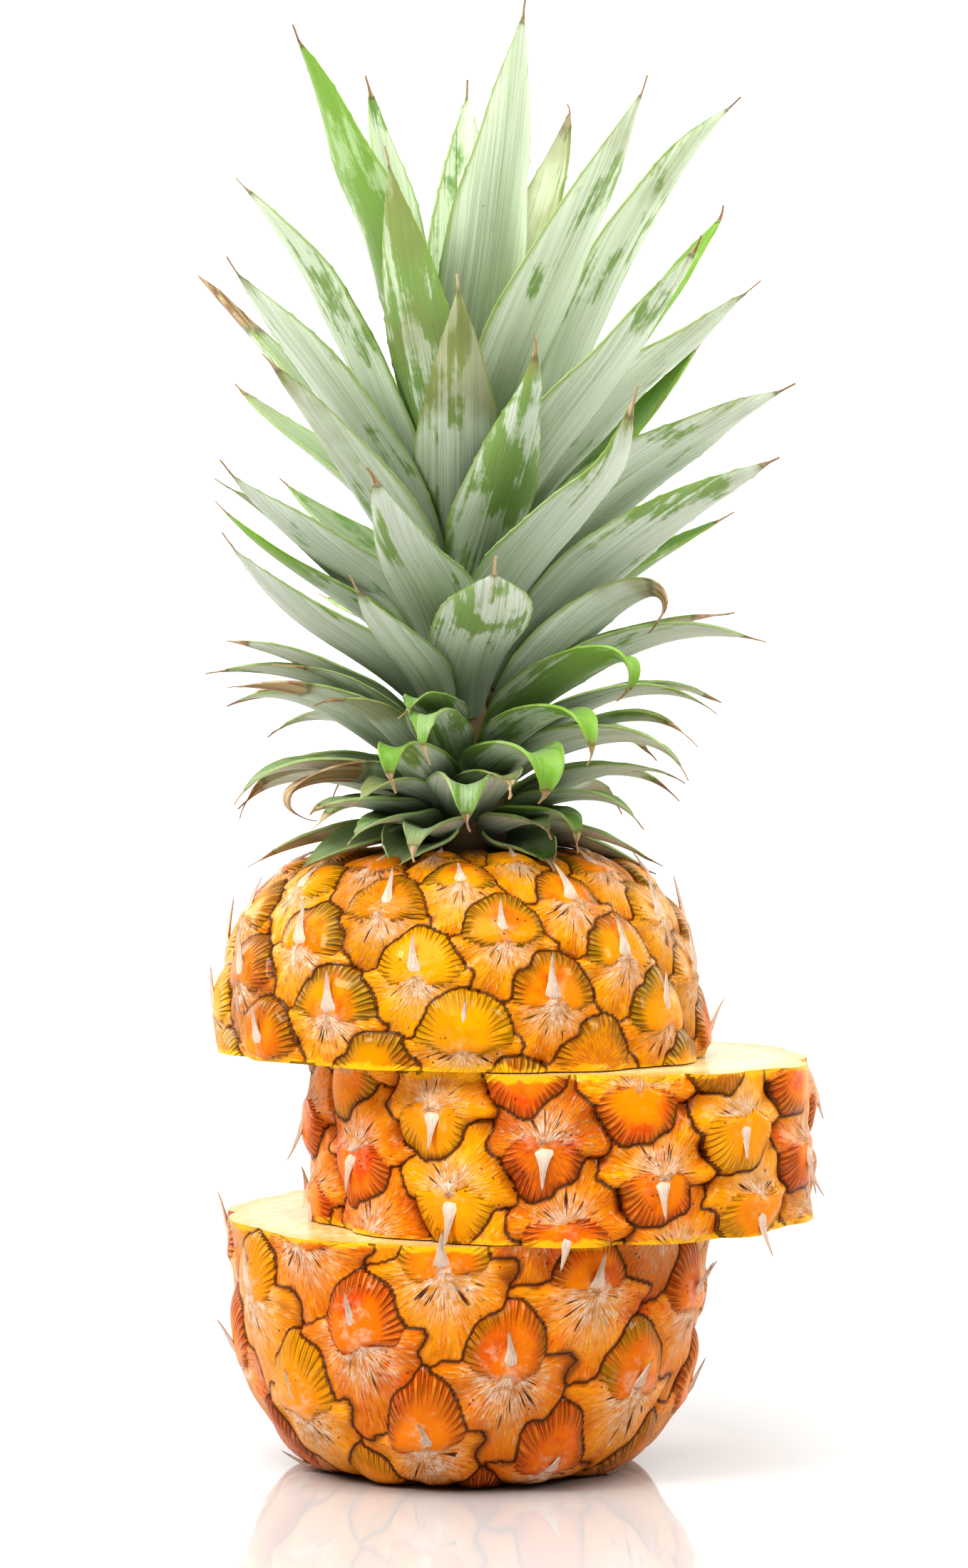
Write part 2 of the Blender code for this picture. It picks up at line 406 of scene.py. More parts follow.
@dataclass(frozen=True)
class RindFinish:
    """The wet, crimped rind of one piece of the fruit."""

    palette: Palette
    groove: Colour = (0.19, 0.045, 0.004)
    crack: Colour = (0.06, 0.010, 0.006)
    # A dark orange-brown painted into the rind's hollows as painted shade.
    painted_shade: Colour = (0.34, 0.065, 0.004)
    brown: Colour = (0.20, 0.055, 0.018)
    dry: Colour = (0.88, 0.68, 0.55)
    papery: Colour = (0.74, 0.42, 0.22)
    crimp: Colour = (0.90, 0.50, 0.07)
    edge: Colour = (0.93, 0.50, 0.015)
    olive: Colour = (0.24, 0.21, 0.004)
    crimps: float = 46.0

    def build(self) -> bpy.types.Material:
        """Makes the material.

        Returns:
            The material, which reads the eye attributes of a rind.
        """
        finish = Finish(
            f"rind_{self.palette.name.lower()}", coat_roughness=0.1, ior=1.4,
            specular_ior_level=0.14,
        )
        palette = self.palette
        u, v, eye, from_cut = finish.attribute("eye_place")
        bract, groove, reach, high = finish.attribute("eye_parts")
        place = finish.place()
        angle = v.maths("ARCTAN2", u)
        distance = (u * u + v * v).maths("SQRT")
        fan = finish.vector(angle * 0.75, distance * 0.32, eye * 37.0)
        rays = finish.noise(fan, 7.0, 2.0)
        fine_rays = finish.noise(fan, 26.0, 2.0)
        patches = finish.noise(place, 90.0, 3.0)
        grain = finish.noise(place, 900.0, 3.0)
        wave = (angle * self.crimps + rays * 9.0).maths("SINE") * 0.5 + 0.5
        at_rim = reach.ramp(0.52, 0.86)
        crimped = wave * at_rim * (1.0 - bract)

        tone = (eye * 12.9898).maths("SINE") * 0.5 + 0.5
        other = (eye * 78.233).maths("SINE") * 0.5 + 0.5
        dome = finish.mix((reach + (patches - 0.5) * 0.5).ramp(0.4, 0.85), palette.dome, palette.rim)
        dome = finish.mix((patches + other * 0.2).ramp(0.52, 0.72) * 0.8, dome, palette.blush)
        dome = finish.mix(crimped * 0.4, dome, self.crimp)
        # Painted shade in the troughs between the crimps of a dome's rim.
        dome = finish.mix(at_rim * (1.0 - wave) * 0.5, dome, self.painted_shade)
        flap = finish.mix(rays.ramp(0.3, 0.7), palette.bract, palette.dome)
        flap = finish.mix(patches.ramp(0.5, 0.75) * 0.7, flap, palette.blush)
        flap = finish.mix(fine_rays.ramp(0.5, 0.8) * 0.45, flap, self.crimp)
        # Painted shade on the bract's low streaks, darker towards its outer part where the next eye
        # overlaps it.
        shade = (1.0 - fine_rays.ramp(0.25, 0.5)) * reach.ramp(0.2, 0.8)
        flap = finish.mix(shade * 0.6, flap, self.painted_shade)
        green = (other + (patches - 0.5) * 1.4).ramp(0.62, 0.8) * at_rim
        dome = finish.mix(green * 0.75, dome, self.olive)
        colour = finish.mix(bract, dome, flap)
        colour = finish.mix(tone * 0.3, colour, palette.blush)
        colour = finish.mix(other.ramp(0.55, 1.0) * 0.7, colour, palette.bract)
        # Painted shade: the lower a place in the relief, the darker it is painted.
        colour = finish.mix((1.0 - high.ramp(0.2, 3.4)) * 0.8, colour, self.painted_shade)
        withered = (tone.ramp(0.88, 0.98) * 0.7 + patches.ramp(0.66, 0.78) * 0.5).maths("MINIMUM", 1.0)
        colour = finish.mix(withered * fine_rays.ramp(0.3, 0.7) * 0.8, colour, self.brown)

        out = distance + (fine_rays - 0.5) * 0.3 * distance.ramp(0.05, 0.3)
        star = (1.0 - out.ramp(0.10, 0.42 + 0.25 * palette.powder)) * bract
        star = star * fine_rays.ramp(0.34, 0.56)
        dust = finish.noise(place, 420.0, 4.0, 0.7)
        dusting = (patches * 0.5 + dust * 0.8 - distance * 0.55).ramp(0.58 - 0.12 * palette.powder, 0.72)
        dusting = dusting * (1.0 - distance.ramp(0.2, 0.62)) * palette.powder
        points = (1.0 - out.ramp(0.35, 0.9)) * fine_rays.ramp(0.56, 0.66) * bract
        powder = (star * 0.95 + dusting * 0.6 + points * 0.5).maths("MINIMUM", 0.92)
        powder = powder * high.ramp(0.3, 2.0)
        dry = finish.mix(dust.ramp(0.35, 0.6), self.papery, self.dry)
        colour = finish.mix(powder, colour, dry)
        slits = finish.noise(finish.vector(angle * 2.4, distance * 0.8, eye * 11.0), 3.0, 1.0)
        cracks = slits.ramp(0.64, 0.69) * distance.peak(0.28, 0.22) * bract
        colour = finish.mix(cracks * 0.92, colour, self.crack)
        colour = finish.mix(groove * 0.8, colour, self.groove)
        specks = finish.cells(place, 420.0).ramp(0.16, 0.1) * patches.ramp(0.5, 0.6)
        colour = finish.mix(specks * 0.7, colour, self.crack)
        ragged = (from_cut + (finish.noise(place, 75.0, 4.0, 0.7) - 0.5) * 8.0).ramp(1.5, 0.5)
        colour = finish.mix(ragged * 0.85, colour, self.edge)
        finish.colour(colour)
        finish.roughness(0.18 + powder * 0.5 + grain * 0.16 + groove * 0.1)
        finish.set("Coat Weight", (1.0 - powder) * 0.22)
        height = crimped * 0.9 + fine_rays * 0.5 * (0.3 + bract) * distance.ramp(0.05, 0.3)
        height = height + grain * 0.12
        finish.bump(height + finish.noise(place, 300.0) * 0.3 - cracks * 1.2 + powder * 0.15, 0.9 * MM)
        return finish.material


@dataclass(frozen=True)
class FleshFinish:
    """Cut flesh: juicy and yellow, with fibres that run out from the core."""

    flesh: Colour = (0.93, 0.60, 0.12)
    # Pale flesh for the core and fibres, whitened in part as a painted highlight on the threads.
    pale_and_highlight: Colour = (0.97, 0.87, 0.60)
    deep: Colour = (0.86, 0.38, 0.015)
    axis: float = 0.0

    def build(self) -> bpy.types.Material:
        """Makes the material.

        Returns:
            The material, whose fibres run out from the given axis.
        """
        finish = Finish(
            f"flesh_{round(self.axis / MM)}", coat_weight=0.35, coat_roughness=0.1,
            subsurface_weight=0.12, subsurface_radius=(0.006, 0.003, 0.001), subsurface_scale=1.0,
        )
        place = finish.place()
        x, y, z = finish.parts(place)
        x = x - self.axis
        distance = (x * x + y * y).maths("SQRT")
        angle = y.maths("ARCTAN2", x)
        fibres = finish.noise(finish.vector(angle * 9.0, distance * 60.0, z * 20.0), 5.0, 4.0)
        threads_and_highlights = finish.noise(finish.vector(angle * 34.0, distance * 90.0, z * 20.0), 5.0, 2.0)
        wet = finish.noise(place, 200.0, 3.0)
        colour = finish.mix(fibres.ramp(0.3, 0.6), self.flesh, self.pale_and_highlight)
        # Partly painted highlight: the thread streaks are painted pale and whitish, standing in for
        # glints on the wet fibres.
        colour = finish.mix(threads_and_highlights.ramp(0.5, 0.7) * 0.5, colour, self.pale_and_highlight)
        colour = finish.mix(wet.ramp(0.5, 0.8) * 0.4, colour, self.deep)
        core = 1.0 - distance.ramp(10 * MM, 15 * MM)
        colour = finish.mix(core * 0.6, colour, self.pale_and_highlight)
        colour = finish.mix(distance.ramp(50 * MM, 60 * MM) * 0.6, colour, self.deep)
        finish.colour(colour)
        finish.roughness(0.2 + threads_and_highlights * 0.25)
        finish.bump(threads_and_highlights * 0.6 + fibres * 0.6 + wet * 0.3, 0.8 * MM)
        return finish.material


@dataclass(frozen=True)
class SpikeFinish:
    """The dry, papery spikes of the eyes."""

    paper: Colour = (0.88, 0.69, 0.56)
    tan: Colour = (0.60, 0.34, 0.18)
    flush: Colour = (0.78, 0.42, 0.16)
    tip: Colour = (0.22, 0.10, 0.06)

    def build(self) -> bpy.types.Material:
        """Makes the material.

        Returns:
            The material, which reads how far along its spike a point is.
        """
        finish = Finish("spike_paper", ior=1.4, coat_weight=0.05)
        along, around, number, _ = finish.attribute("spike_place")
        streak = finish.noise(finish.vector(around * 5.0, along * 1.2, number * 17.0), 3.0, 3.0)
        colour = finish.mix(streak.ramp(0.48, 0.75), self.paper, self.tan)
        colour = finish.mix((1.0 - along.ramp(0.0, 0.35)) * 0.55, colour, self.flush)
        colour = finish.mix(along.ramp(0.86, 1.0) * 0.7, colour, self.tip)
        finish.colour(colour)
        finish.roughness(0.55 + streak * 0.25)
        finish.bump(streak, 0.35 * MM)
        return finish.material


class LeafFace(Enum):
    """A leaf's two faces: their wax, the green under it and the green at the foot."""

    OUTER = ((0.62, 0.66, 0.57), (0.17, 0.30, 0.025), (0.20, 0.25, 0.16))
    INNER = ((0.34, 0.43, 0.24), (0.14, 0.29, 0.03), (0.10, 0.17, 0.06))


@dataclass(frozen=True)
class LeafFinish:
    """A crown leaf's skin, on one of its faces."""

    face: LeafFace
    margin: Colour = (0.26, 0.38, 0.06)
    # Paler wax for the highest leaves: a painted backlight from above and behind.
    painted_backlight: Colour = (0.70, 0.79, 0.58)
    fresh: Colour = (0.22, 0.42, 0.03)
    olive: Colour = (0.27, 0.25, 0.09)
    dry: Colour = (0.28, 0.16, 0.08)
    straw: Colour = (0.52, 0.40, 0.24)
    scorch: Colour = (0.10, 0.045, 0.025)

    def build(self) -> bpy.types.Material:
        """Makes the material.

        Returns:
            The material, which reads the leaf attributes.
        """
        finish = Finish(f"leaf_{self.face.name.lower()}", ior=1.42, coat_weight=0.05, sheen_weight=0.08)
        wax, green, foot = self.face.value
        across, along, tone, dry = finish.attribute("leaf_place")
        width, length, rubbed, aged = finish.attribute("leaf_size")
        wide = across * width
        far = along * length
        lines = finish.noise(finish.vector(wide * 900.0, far * 9.0, tone * 31.0), 1.0, 3.0)
        veins = finish.noise(finish.vector(wide * 2600.0, far * 30.0, tone * 31.0), 1.0, 2.0)
        cloud = finish.noise(finish.vector(wide * 95.0, far * 38.0, tone * 77.0), 1.0, 5.0, 0.62)
        blotch = finish.noise(finish.vector(wide * 50.0, far * 30.0, tone * 13.0), 1.0, 3.0)
        grain = finish.noise(finish.place(), 1500.0, 2.0)
        up = finish.parts(finish.place())[2]
        worn = cloud + (lines - 0.5) * 0.28 + (along - 0.55) * 0.16 + (rubbed - 0.35) * 0.26
        bare = worn.ramp(0.53, 0.62)
        # Painted light: the higher a leaf stands, the paler its wax is painted, as if lit from behind.
        light = finish.mix(up.ramp(0.22, 0.34), wax, self.painted_backlight)
        colour = finish.mix(bare * 0.82, light, green)
        colour = finish.mix(lines.ramp(0.45, 0.75) * 0.3, colour, green)
        colour = finish.mix((1.0 - along.ramp(0.02, 0.5)) * 0.55, colour, foot)
        colour = finish.mix((1.0 - veins.ramp(0.35, 0.6)) * 0.22, colour, foot)
        edge = across.maths("ABSOLUTE")
        colour = finish.mix(edge.ramp(0.88, 0.99) * 0.7, colour, self.margin)
        new = rubbed.ramp(0.6, 0.8) * along.ramp(0.45, 0.8)
        colour = finish.mix(new * 0.7, colour, self.fresh)
        olive = (blotch + along * 0.5 + dry * 0.5 + aged * along.ramp(0.3, 0.6) * 0.42).ramp(0.95, 1.2)
        colour = finish.mix(olive * 0.6, colour, self.olive)
        ragged = (dry + (cloud - 0.5) * 0.9 + (lines - 0.5) * 0.5).ramp(0.42, 0.6)
        dead = finish.mix(lines.ramp(0.35, 0.65), self.dry, self.straw)
        dead = finish.mix(veins.ramp(0.58, 0.75) * 0.35, dead, self.scorch)
        singed = (dry + (cloud - 0.5) * 0.9).peak(0.42, 0.16) * 0.5 * dry.ramp(0.02, 0.3)
        colour = finish.mix(singed, colour, self.scorch)
        colour = finish.mix(ragged, colour, dead)
        spots = finish.cells(finish.place(), 260.0).ramp(0.12, 0.07) * cloud.ramp(0.5, 0.62)
        colour = finish.mix(spots * 0.4, colour, self.dry)
        finish.colour(colour)
        finish.roughness(0.5 + bare * -0.1 + grain * 0.14 + ragged * 0.12)
        finish.bump(lines * 0.7 + veins * 0.35 + grain * 0.1, 0.35 * MM)
        return finish.material


# --------------------------------------------------------------------- the fruit


# How many steep steps each way are tried when the eyes are listed.
MOST_STEPS = 30


@dataclass(frozen=True)
class EyeLattice:
    """Where the eyes of a rind are, on two families of spirals.

    Angles are in degrees from the front towards +X, heights in millimetres up from
    the piece's cut.  There are as many steep spirals as flat steps close a turn.
    """

    first: tuple[float, float]
    steep: tuple[float, float]
    flat: tuple[float, float]
    steep_spirals: int
    warp: float = 0.0
    stretch: float = 0.0

    def centres(self, low: float, high: float) -> list[tuple[float, float]]:
        """The eyes between two heights.

        Args:
            low: The lowest height, in millimetres.
            high: The highest height.

        Returns:
            The angle and height of each eye.
        """
        found = []
        for j in range(self.steep_spirals):
            for i in range(-MOST_STEPS, MOST_STEPS + 1):
                angle = self.first[0] + i * self.steep[0] + j * self.flat[0]
                height = self.first[1] + i * self.steep[1] + j * self.flat[1]
                if low <= height <= high:
                    found.append((angle % 360, height))
        return sorted(found, key=lambda eye: (round(eye[1], 3), eye[0]))

    def size(self, radius: float) -> float:
        """An eye's size.

        Args:
            radius: The rind's radius there, in millimetres.

        Returns:
            The size in millimetres.
        """
        mm = math.radians(1) * radius
        cell = abs(self.steep[0] * self.flat[1] - self.steep[1] * self.flat[0]) * mm
        return math.sqrt(cell)

    def pattern_angle(self, angle: np.ndarray) -> np.ndarray:
        """The angle in the even pattern of an angle on the fruit.

        Args:
            angle: Angles on the fruit, in degrees.

        Returns:
            Angles in the pattern, in degrees.
        """
        even = angle
        for _ in range(4):
            even = angle + math.degrees(self.warp) * np.sin(np.radians(even))
        return even

    def fruit_angle(self, even: float) -> float:
        """The angle on the fruit of an angle in the even pattern, in degrees."""
        return even - math.degrees(self.warp) * math.sin(math.radians(even))

    def pattern_height(self, height: np.ndarray) -> np.ndarray:
        """The height in the even pattern of a height along the rind.

        Args:
            height: Heights along the rind, in millimetres.

        Returns:
            Heights in the pattern, in millimetres.
        """
        if not self.stretch:
            return height
        return -(np.sqrt(1 + 4 * self.stretch * np.abs(height)) - 1) / (2 * self.stretch)

    def rind_height(self, height: float) -> float:
        """The height along the rind of a height in the even pattern."""
        return height * (1 + self.stretch * abs(height))


# A cut is given by its height on the axis and its slopes along X and Y.  FLAT_REST is
# the bottom of the fruit, which stands on the table.
FLAT_REST = (0.0, 0.0, 0.0)
LOWER_CUT = (62.2, 0.0, 0.012)
UPPER_CUT = (102.4, -0.015, 0.0)

# The rings of a cut face, from its middle, as shares of the rind's radius.
CAP_RINGS = (0, 0.12, 0.28, 0.44, 0.58, 0.7, 0.8, 0.88, 0.94, 0.98)

# How far a bract reaches, as a share of an eye, at angles from straight down.
BRACT_ANGLES = (0, 25, 45, 62, 76, 90, 98, 106, 122, 150, 180)
BRACT_REACHES = (0.74, 0.70, 0.68, 0.60, 0.62, 0.76, 0.64, 0.40, 0.22, 0.15, 0.13)


class Slot(IntEnum):
    """The finishes of a fruit piece, in the order of its material slots."""

    RIND = 0
    FLESH = 1
    STEM = 2


@dataclass
class FruitPiece:
    """One piece of the cut fruit: rind in eyes with spikes, and flesh on its cuts."""

    node: str
    palette: Palette
    lattice: EyeLattice
    axis: float
    profile: list[tuple[float, float]]
    cut_at_start: tuple[float, float, float]
    cut_at_end: tuple[float, float, float]
    start: float
    end: float
    upside_down: bool = False
    seed: int = 1
    columns: int = 560
    row: float = 0.66
    level_near_cut: float = 6.0
    dome_height: float = 5.0
    bract_height: float = 4.3
    dome_size: tuple[float, float] = (12.3, 13.4)
    bract_reach: float = 1.0
    sink: float = 2.9
    spikes_from: float = 2.0
    spikes_to: float = 5.0
    stem: tuple[tuple[float, float], ...] = ()

    def build(self) -> tuple[bpy.types.Object, bpy.types.Object]:
        """Makes the piece and its spikes.

        Returns:
            The piece and the spikes.
        """
        profile = np.array(self.profile)
        self.lengths = np.concatenate([[0], np.cumsum(np.hypot(*np.diff(profile, axis=0).T))])
        self.rng = np.random.default_rng(self.seed)
        self.full = profile[:, 0].max()
        self.size = self.lattice.size(self.full)
        self.up = -1 if self.start > self.end else 1
        low, high = sorted((0.0, self.lengths[-1] * self.up))
        if self.up < 0:
            low = float(self.lattice.pattern_height(np.array(low)))
        self.eyes = self.lattice.centres(low - self.size, high + self.size)
        return self.body(profile), self.spikes(profile)

    def eye_surface(self, angle: np.ndarray, along: np.ndarray) -> dict:
        """The relief of the eyes over a stretch of rind.

        Args:
            angle: Each point's angle in degrees.
            along: Its signed distance along the rind from the cut, in millimetres.

        Returns:
            Arrays of the height in millimetres, the place in the eye and its parts.
        """
        even = self.lattice.pattern_angle(angle)
        high = self.lattice.pattern_height(along)
        shape = even.shape
        best = np.full(shape, -9.0)
        second = np.full(shape, -9.0)
        best_eye = np.full(shape, -1)
        found = {name: np.zeros(shape) for name in ("u", "v", "eye", "bract", "reach")}
        turn = -1.0 if self.upside_down else 1.0
        jitter = np.random.default_rng(self.seed + 50)
        mm = math.radians(1) * self.full
        for number, (eye_angle, eye_height) in enumerate(self.eyes):
            larger, taller, skew = jitter.uniform(-1, 1, 3)
            u = ((even - eye_angle + 180) % 360 - 180) * mm / self.size * turn
            v = (high - eye_height) / self.size * turn
            near = (np.abs(u) < 1.1) & (np.abs(v) < 1.1)
            if not near.any():
                continue
            u, v = u[near], v[near]
            bent = ripples(jitter, u, v, 0.5, 6)
            bent_u, bent_v = u + 0.03 * bent, v + 0.03 * ripples(jitter, u, v, 0.5, 6) + 0.06 * skew * u
            lower = np.where(bent_v > 0.04, self.dome_size[1] / self.size, 0.16)
            wide = self.dome_size[0] / self.size * (1 + 0.05 * larger)
            reach = np.hypot(bent_u / wide, (bent_v - 0.04) / lower)
            inside = np.clip(1 - reach**2.6, 0, 1) ** 0.42
            dome = self.dome_height * (1 + 0.15 * taller) * inside - 2.2 * np.maximum(reach - 1, 0)
            away = np.hypot(bent_u, bent_v)
            downwards = np.degrees(np.abs(np.arctan2(bent_u, -bent_v)))
            limit = np.interp(downwards, BRACT_ANGLES, BRACT_REACHES) * self.bract_reach
            out = away / limit
            folds = np.cos(np.radians(downwards) * 8.0 + 2.0 * skew) * np.clip(out, 0, 1)
            bract = self.bract_height * (1 - 0.6 * np.clip(out, 0, 1) ** 1.3)
            bract = bract - 9.0 * np.maximum(out - 0.93, 0) + 0.42 * folds
            bract = bract + 0.8 * np.exp(-((away / 0.13) ** 2))
            for height, is_bract, share in ((dome, 0.0, reach), (bract, 1.0, out)):
                over = height > best[near]
                own = 0.45 * is_bract * (best_eye[near] == number)
                lower_one = np.where(over, best[near], height) - own
                second[near] = np.maximum(np.where(over, second[near] - own, second[near]), lower_one)
                best_eye[near] = np.where(over, number, best_eye[near])
                best[near] = np.where(over, height, best[near])
                values = {"u": u, "v": v, "eye": number + 1.0, "bract": is_bract, "reach": share}
                for name, value in values.items():
                    found[name][near] = np.where(over, value, found[name][near])
        best = np.maximum(best, -0.9)
        second = np.maximum(second, -0.9)
        found["groove"] = 1 - step(best - second, 0.0, 0.75) * step(best, -0.3, 0.7)
        found["height"] = best
        return found

    def shrink(self, radius: np.ndarray) -> np.ndarray:
        """How large the eyes are where the rind has these radii, as a share."""
        return (radius / self.full) ** 0.8

    def outwards(self, slope_r: np.ndarray, slope_z: np.ndarray) -> tuple[np.ndarray, np.ndarray]:
        """The direction out of the rind, from the slopes of its profile."""
        steep = np.maximum(np.hypot(slope_r, slope_z), 1e-9)
        return np.abs(slope_z) / steep, -slope_r * np.sign(slope_z.sum()) / steep

    def between_cuts(self, points: np.ndarray, share: np.ndarray) -> np.ndarray:
        """The heights of points that lie at a share of the way from the start to the end.

        Args:
            points: The points, in millimetres.
            share: How far each is from the cut at the start to the end.

        Returns:
            The heights in millimetres.
        """
        start, end = (
            cut[0] + cut[1] * points[..., 0] + cut[2] * points[..., 1]
            for cut in (self.cut_at_start, self.cut_at_end)
        )
        return start + (end - start) * share

    def rind(self, profile: np.ndarray) -> tuple[np.ndarray, dict]:
        """The rind's points and what its finish reads.

        Args:
            profile: Rows of radius and height, from the cut.

        Returns:
            The points, in rows from the cut, and the eyes' arrays.
        """
        count = int(self.lengths[-1] / self.row) + 2
        along = np.linspace(0, self.lengths[-1], count)
        radius = np.interp(along, self.lengths, profile[:, 0])
        height = np.interp(along, self.lengths, profile[:, 1])
        slope_r = np.gradient(radius, along)
        slope_z = np.gradient(height, along)
        blur = np.ones(11) / 11
        slope_r = np.convolve(np.pad(slope_r, len(blur) // 2, "edge"), blur, "valid")
        slope_z = np.convolve(np.pad(slope_z, len(blur) // 2, "edge"), blur, "valid")
        out_r, out_z = self.outwards(slope_r, slope_z)
        if self.upside_down:
            out_z = out_z * 0
        out_z = out_z * step(along, 0.0, self.level_near_cut)
        angle = np.linspace(0, 360, self.columns + 1)
        shrink = self.shrink(radius)
        grid_angle, grid_along = np.meshgrid(angle, along * self.up)
        eyes = self.eye_surface(grid_angle, grid_along)
        waves = ripples(self.rng, np.sin(np.radians(grid_angle)) * 60, grid_along, 14.0)
        to_end = self.lengths[-1] - np.abs(grid_along) if self.upside_down else 99.0
        eyes["cut"] = np.minimum(np.abs(grid_along), to_end)
        relief = (eyes["height"] - self.sink) * shrink[:, None] + 0.25 * waves * shrink[:, None]
        relief[:, -1] = relief[:, 0]
        far = radius[:, None] + relief * out_r[:, None]
        rise = height[:, None] + relief * out_z[:, None]
        turn = np.radians(grid_angle)
        points = np.stack([far * np.sin(turn), -far * np.cos(turn), rise], axis=-1)
        return points, eyes

    def body(self, profile: np.ndarray) -> bpy.types.Object:
        """The piece itself, closed, its rind and flesh in their own finishes.

        Args:
            profile: Rows of radius and height, from the cut.

        Returns:
            The piece.
        """
        rind, eyes = self.rind(profile)
        shares = np.array(CAP_RINGS)
        first, last = rind[0], rind[-1]
        start_cap = first[None] * shares[:, None, None]
        start_cap[..., 2] = self.start
        end_cap = last[None] * shares[::-1, None, None]
        end_cap[..., 2] = self.end
        if self.stem:
            rings = [last * 0.9 * [1, 1, 0] + [0, 0, self.end]]
            turn = np.radians(np.linspace(0, 360, self.columns + 1))
            around = np.stack([np.sin(turn), -np.cos(turn), 0 * turn], axis=-1)
            rings += [around * radius + [0, 0, height] for radius, height in self.stem]
            end_cap = np.array(rings)
        points = np.concatenate([start_cap, rind, end_cap])
        rise = (points[..., 2] - self.start) / (self.end - self.start)
        points[..., 0] += self.axis
        beyond = np.maximum(rise - 1, 0) * (self.end - self.start)
        points[..., 2] = self.between_cuts(points, np.clip(rise, 0, 1)) + beyond
        points[..., 2] = np.maximum(points[..., 2], 0.02)
        points = points if self.up > 0 else points[::-1]
        piece = sheet(f"{self.node}_rind_and_flesh", points * MM)
        kinds = np.full(len(points), Slot.RIND, np.int32)
        kinds[:len(shares)] = Slot.FLESH
        if self.stem:
            kinds[len(shares) + len(rind):] = Slot.STEM
        elif self.cut_at_end != FLAT_REST:
            kinds[len(shares) + len(rind):] = Slot.FLESH
        kinds = kinds if self.up > 0 else kinds[::-1]
        between = np.repeat(np.maximum(kinds[:-1], kinds[1:]), self.columns)
        piece.data.polygons.foreach_set("material_index", between)
        for name, keys in (("eye_place", ("u", "v", "eye", "cut")),
                           ("eye_parts", ("bract", "groove", "reach", "height"))):
            block = np.stack([eyes[key] for key in keys], axis=-1)
            first, last = block[:1].repeat(len(shares), 0), block[-1:].repeat(len(end_cap), 0)
            block = np.concatenate([first, block, last])
            block = block if self.up > 0 else block[::-1]
            set_attribute(piece, name, block.reshape(-1, 4))
        close(piece)
        piece.data.materials.append(RindFinish(self.palette).build())
        piece.data.materials.append(FleshFinish(axis=self.axis * MM).build())
        if self.stem:
            piece.data.materials.append(LEAF_OUTER)
        smooth(piece, 40)
        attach(piece, "root")
        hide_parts(self.node)
        return piece

    def spikes(self, profile: np.ndarray) -> bpy.types.Object:
        """The dry spikes at the eyes' middles, in one piece.

        Args:
            profile: Rows of radius and height, from the cut.

        Returns:
            The spikes.
        """
        rng = np.random.default_rng(self.seed + 9)
        turn = -1.0 if self.upside_down else 1.0
        made = []
        stations = np.linspace(0, 1, 9)
        for number, (eye_angle, eye_height) in enumerate(self.eyes):
            length, lean, sway, stand = rng.uniform((11.0, -1, -1, 0.5), (16.0, 1, 1, 5.0))
            base = self.lattice.rind_height(eye_height) * self.up
            if not self.spikes_from < base < self.lengths[-1] - self.spikes_to:
                continue
            angle = math.radians(self.lattice.fruit_angle(eye_angle))
            shrink = self.shrink(np.interp(base, self.lengths, profile[:, 0]))
            length = length * shrink
            path = base + (stations * length - 1.5) * turn * self.up
            radius = np.interp(path, self.lengths, profile[:, 0])
            height = np.interp(path, self.lengths, profile[:, 1])
            over = path - np.clip(path, 0, self.lengths[-1])
            height = height + over * self.up
            out_r, out_z = self.outwards(np.gradient(radius), np.gradient(height))
            lift = -0.6 + 2.6 * step(stations, 0.0, 0.35) + stand * stations**2
            lift = lift * shrink
            centre_r = radius + lift * out_r
            centre_z = height + lift * out_z
            shift = (lean * 1.6 * stations + sway * 0.9 * np.sin(stations * math.pi)) * shrink
            wide = (3.9 * (1 - stations) ** 3.4 + 1.2 * (1 - stations) ** 0.75 + 0.1) * shrink
            thick = (0.9 * (1 - stations) + 0.14) * shrink
            around = np.linspace(0, math.tau, 8)
            sideways = shift[:, None] + wide[:, None] * np.cos(around)[None]
            sag = 0.25 * wide[:, None] * np.cos(around)[None] ** 2
            fold = thick[:, None] * np.sin(around)[None] - sag
            far = centre_r[:, None] + fold * out_r[:, None]
            rise = centre_z[:, None] + fold * out_z[:, None]
            across = np.array([math.cos(angle), math.sin(angle), 0.0])
            outwards = np.array([math.sin(angle), -math.cos(angle), 0.0])
            points = far[..., None] * outwards + sideways[..., None] * across
            points[..., 2] += rise
            share = np.clip((points[..., 2] - self.start) / (self.end - self.start), -0.3, 1.3)
            points[..., 0] += self.axis
            points[..., 2] = self.between_cuts(points, share)
            points[0] = points[0].mean(axis=0)
            points[-1] = points[-1].mean(axis=0)
            points[:, -1] = points[:, 0]
            points[..., 2] = np.maximum(points[..., 2], 0.3)
            if self.node == "fruit_base":
                inside = np.hypot(points[..., 0] - SLICE_SHIFT, points[..., 1]) < SLICE_RADIUS + 1.5
                cut = LOWER_CUT[0] + LOWER_CUT[2] * points[..., 1] - 0.4
                points[..., 2] = np.where(inside, np.minimum(points[..., 2], cut), points[..., 2])
            spike = sheet(f"{self.node}_spike", points * MM)
            place = np.stack(np.broadcast_arrays(
                stations[:, None], np.cos(around)[None], number + 1.0, 1.0), axis=-1)
            set_attribute(spike, "spike_place", place.reshape(-1, 4))
            made.append(spike)
        select(*made)
        bpy.ops.object.join()
        piece = bpy.context.active_object
        piece.name = f"{self.node}_spikes"
        close(piece)
        piece.data.materials.append(SpikeFinish().build())
        smooth(piece, 60)
        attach(piece, "root")
        return piece


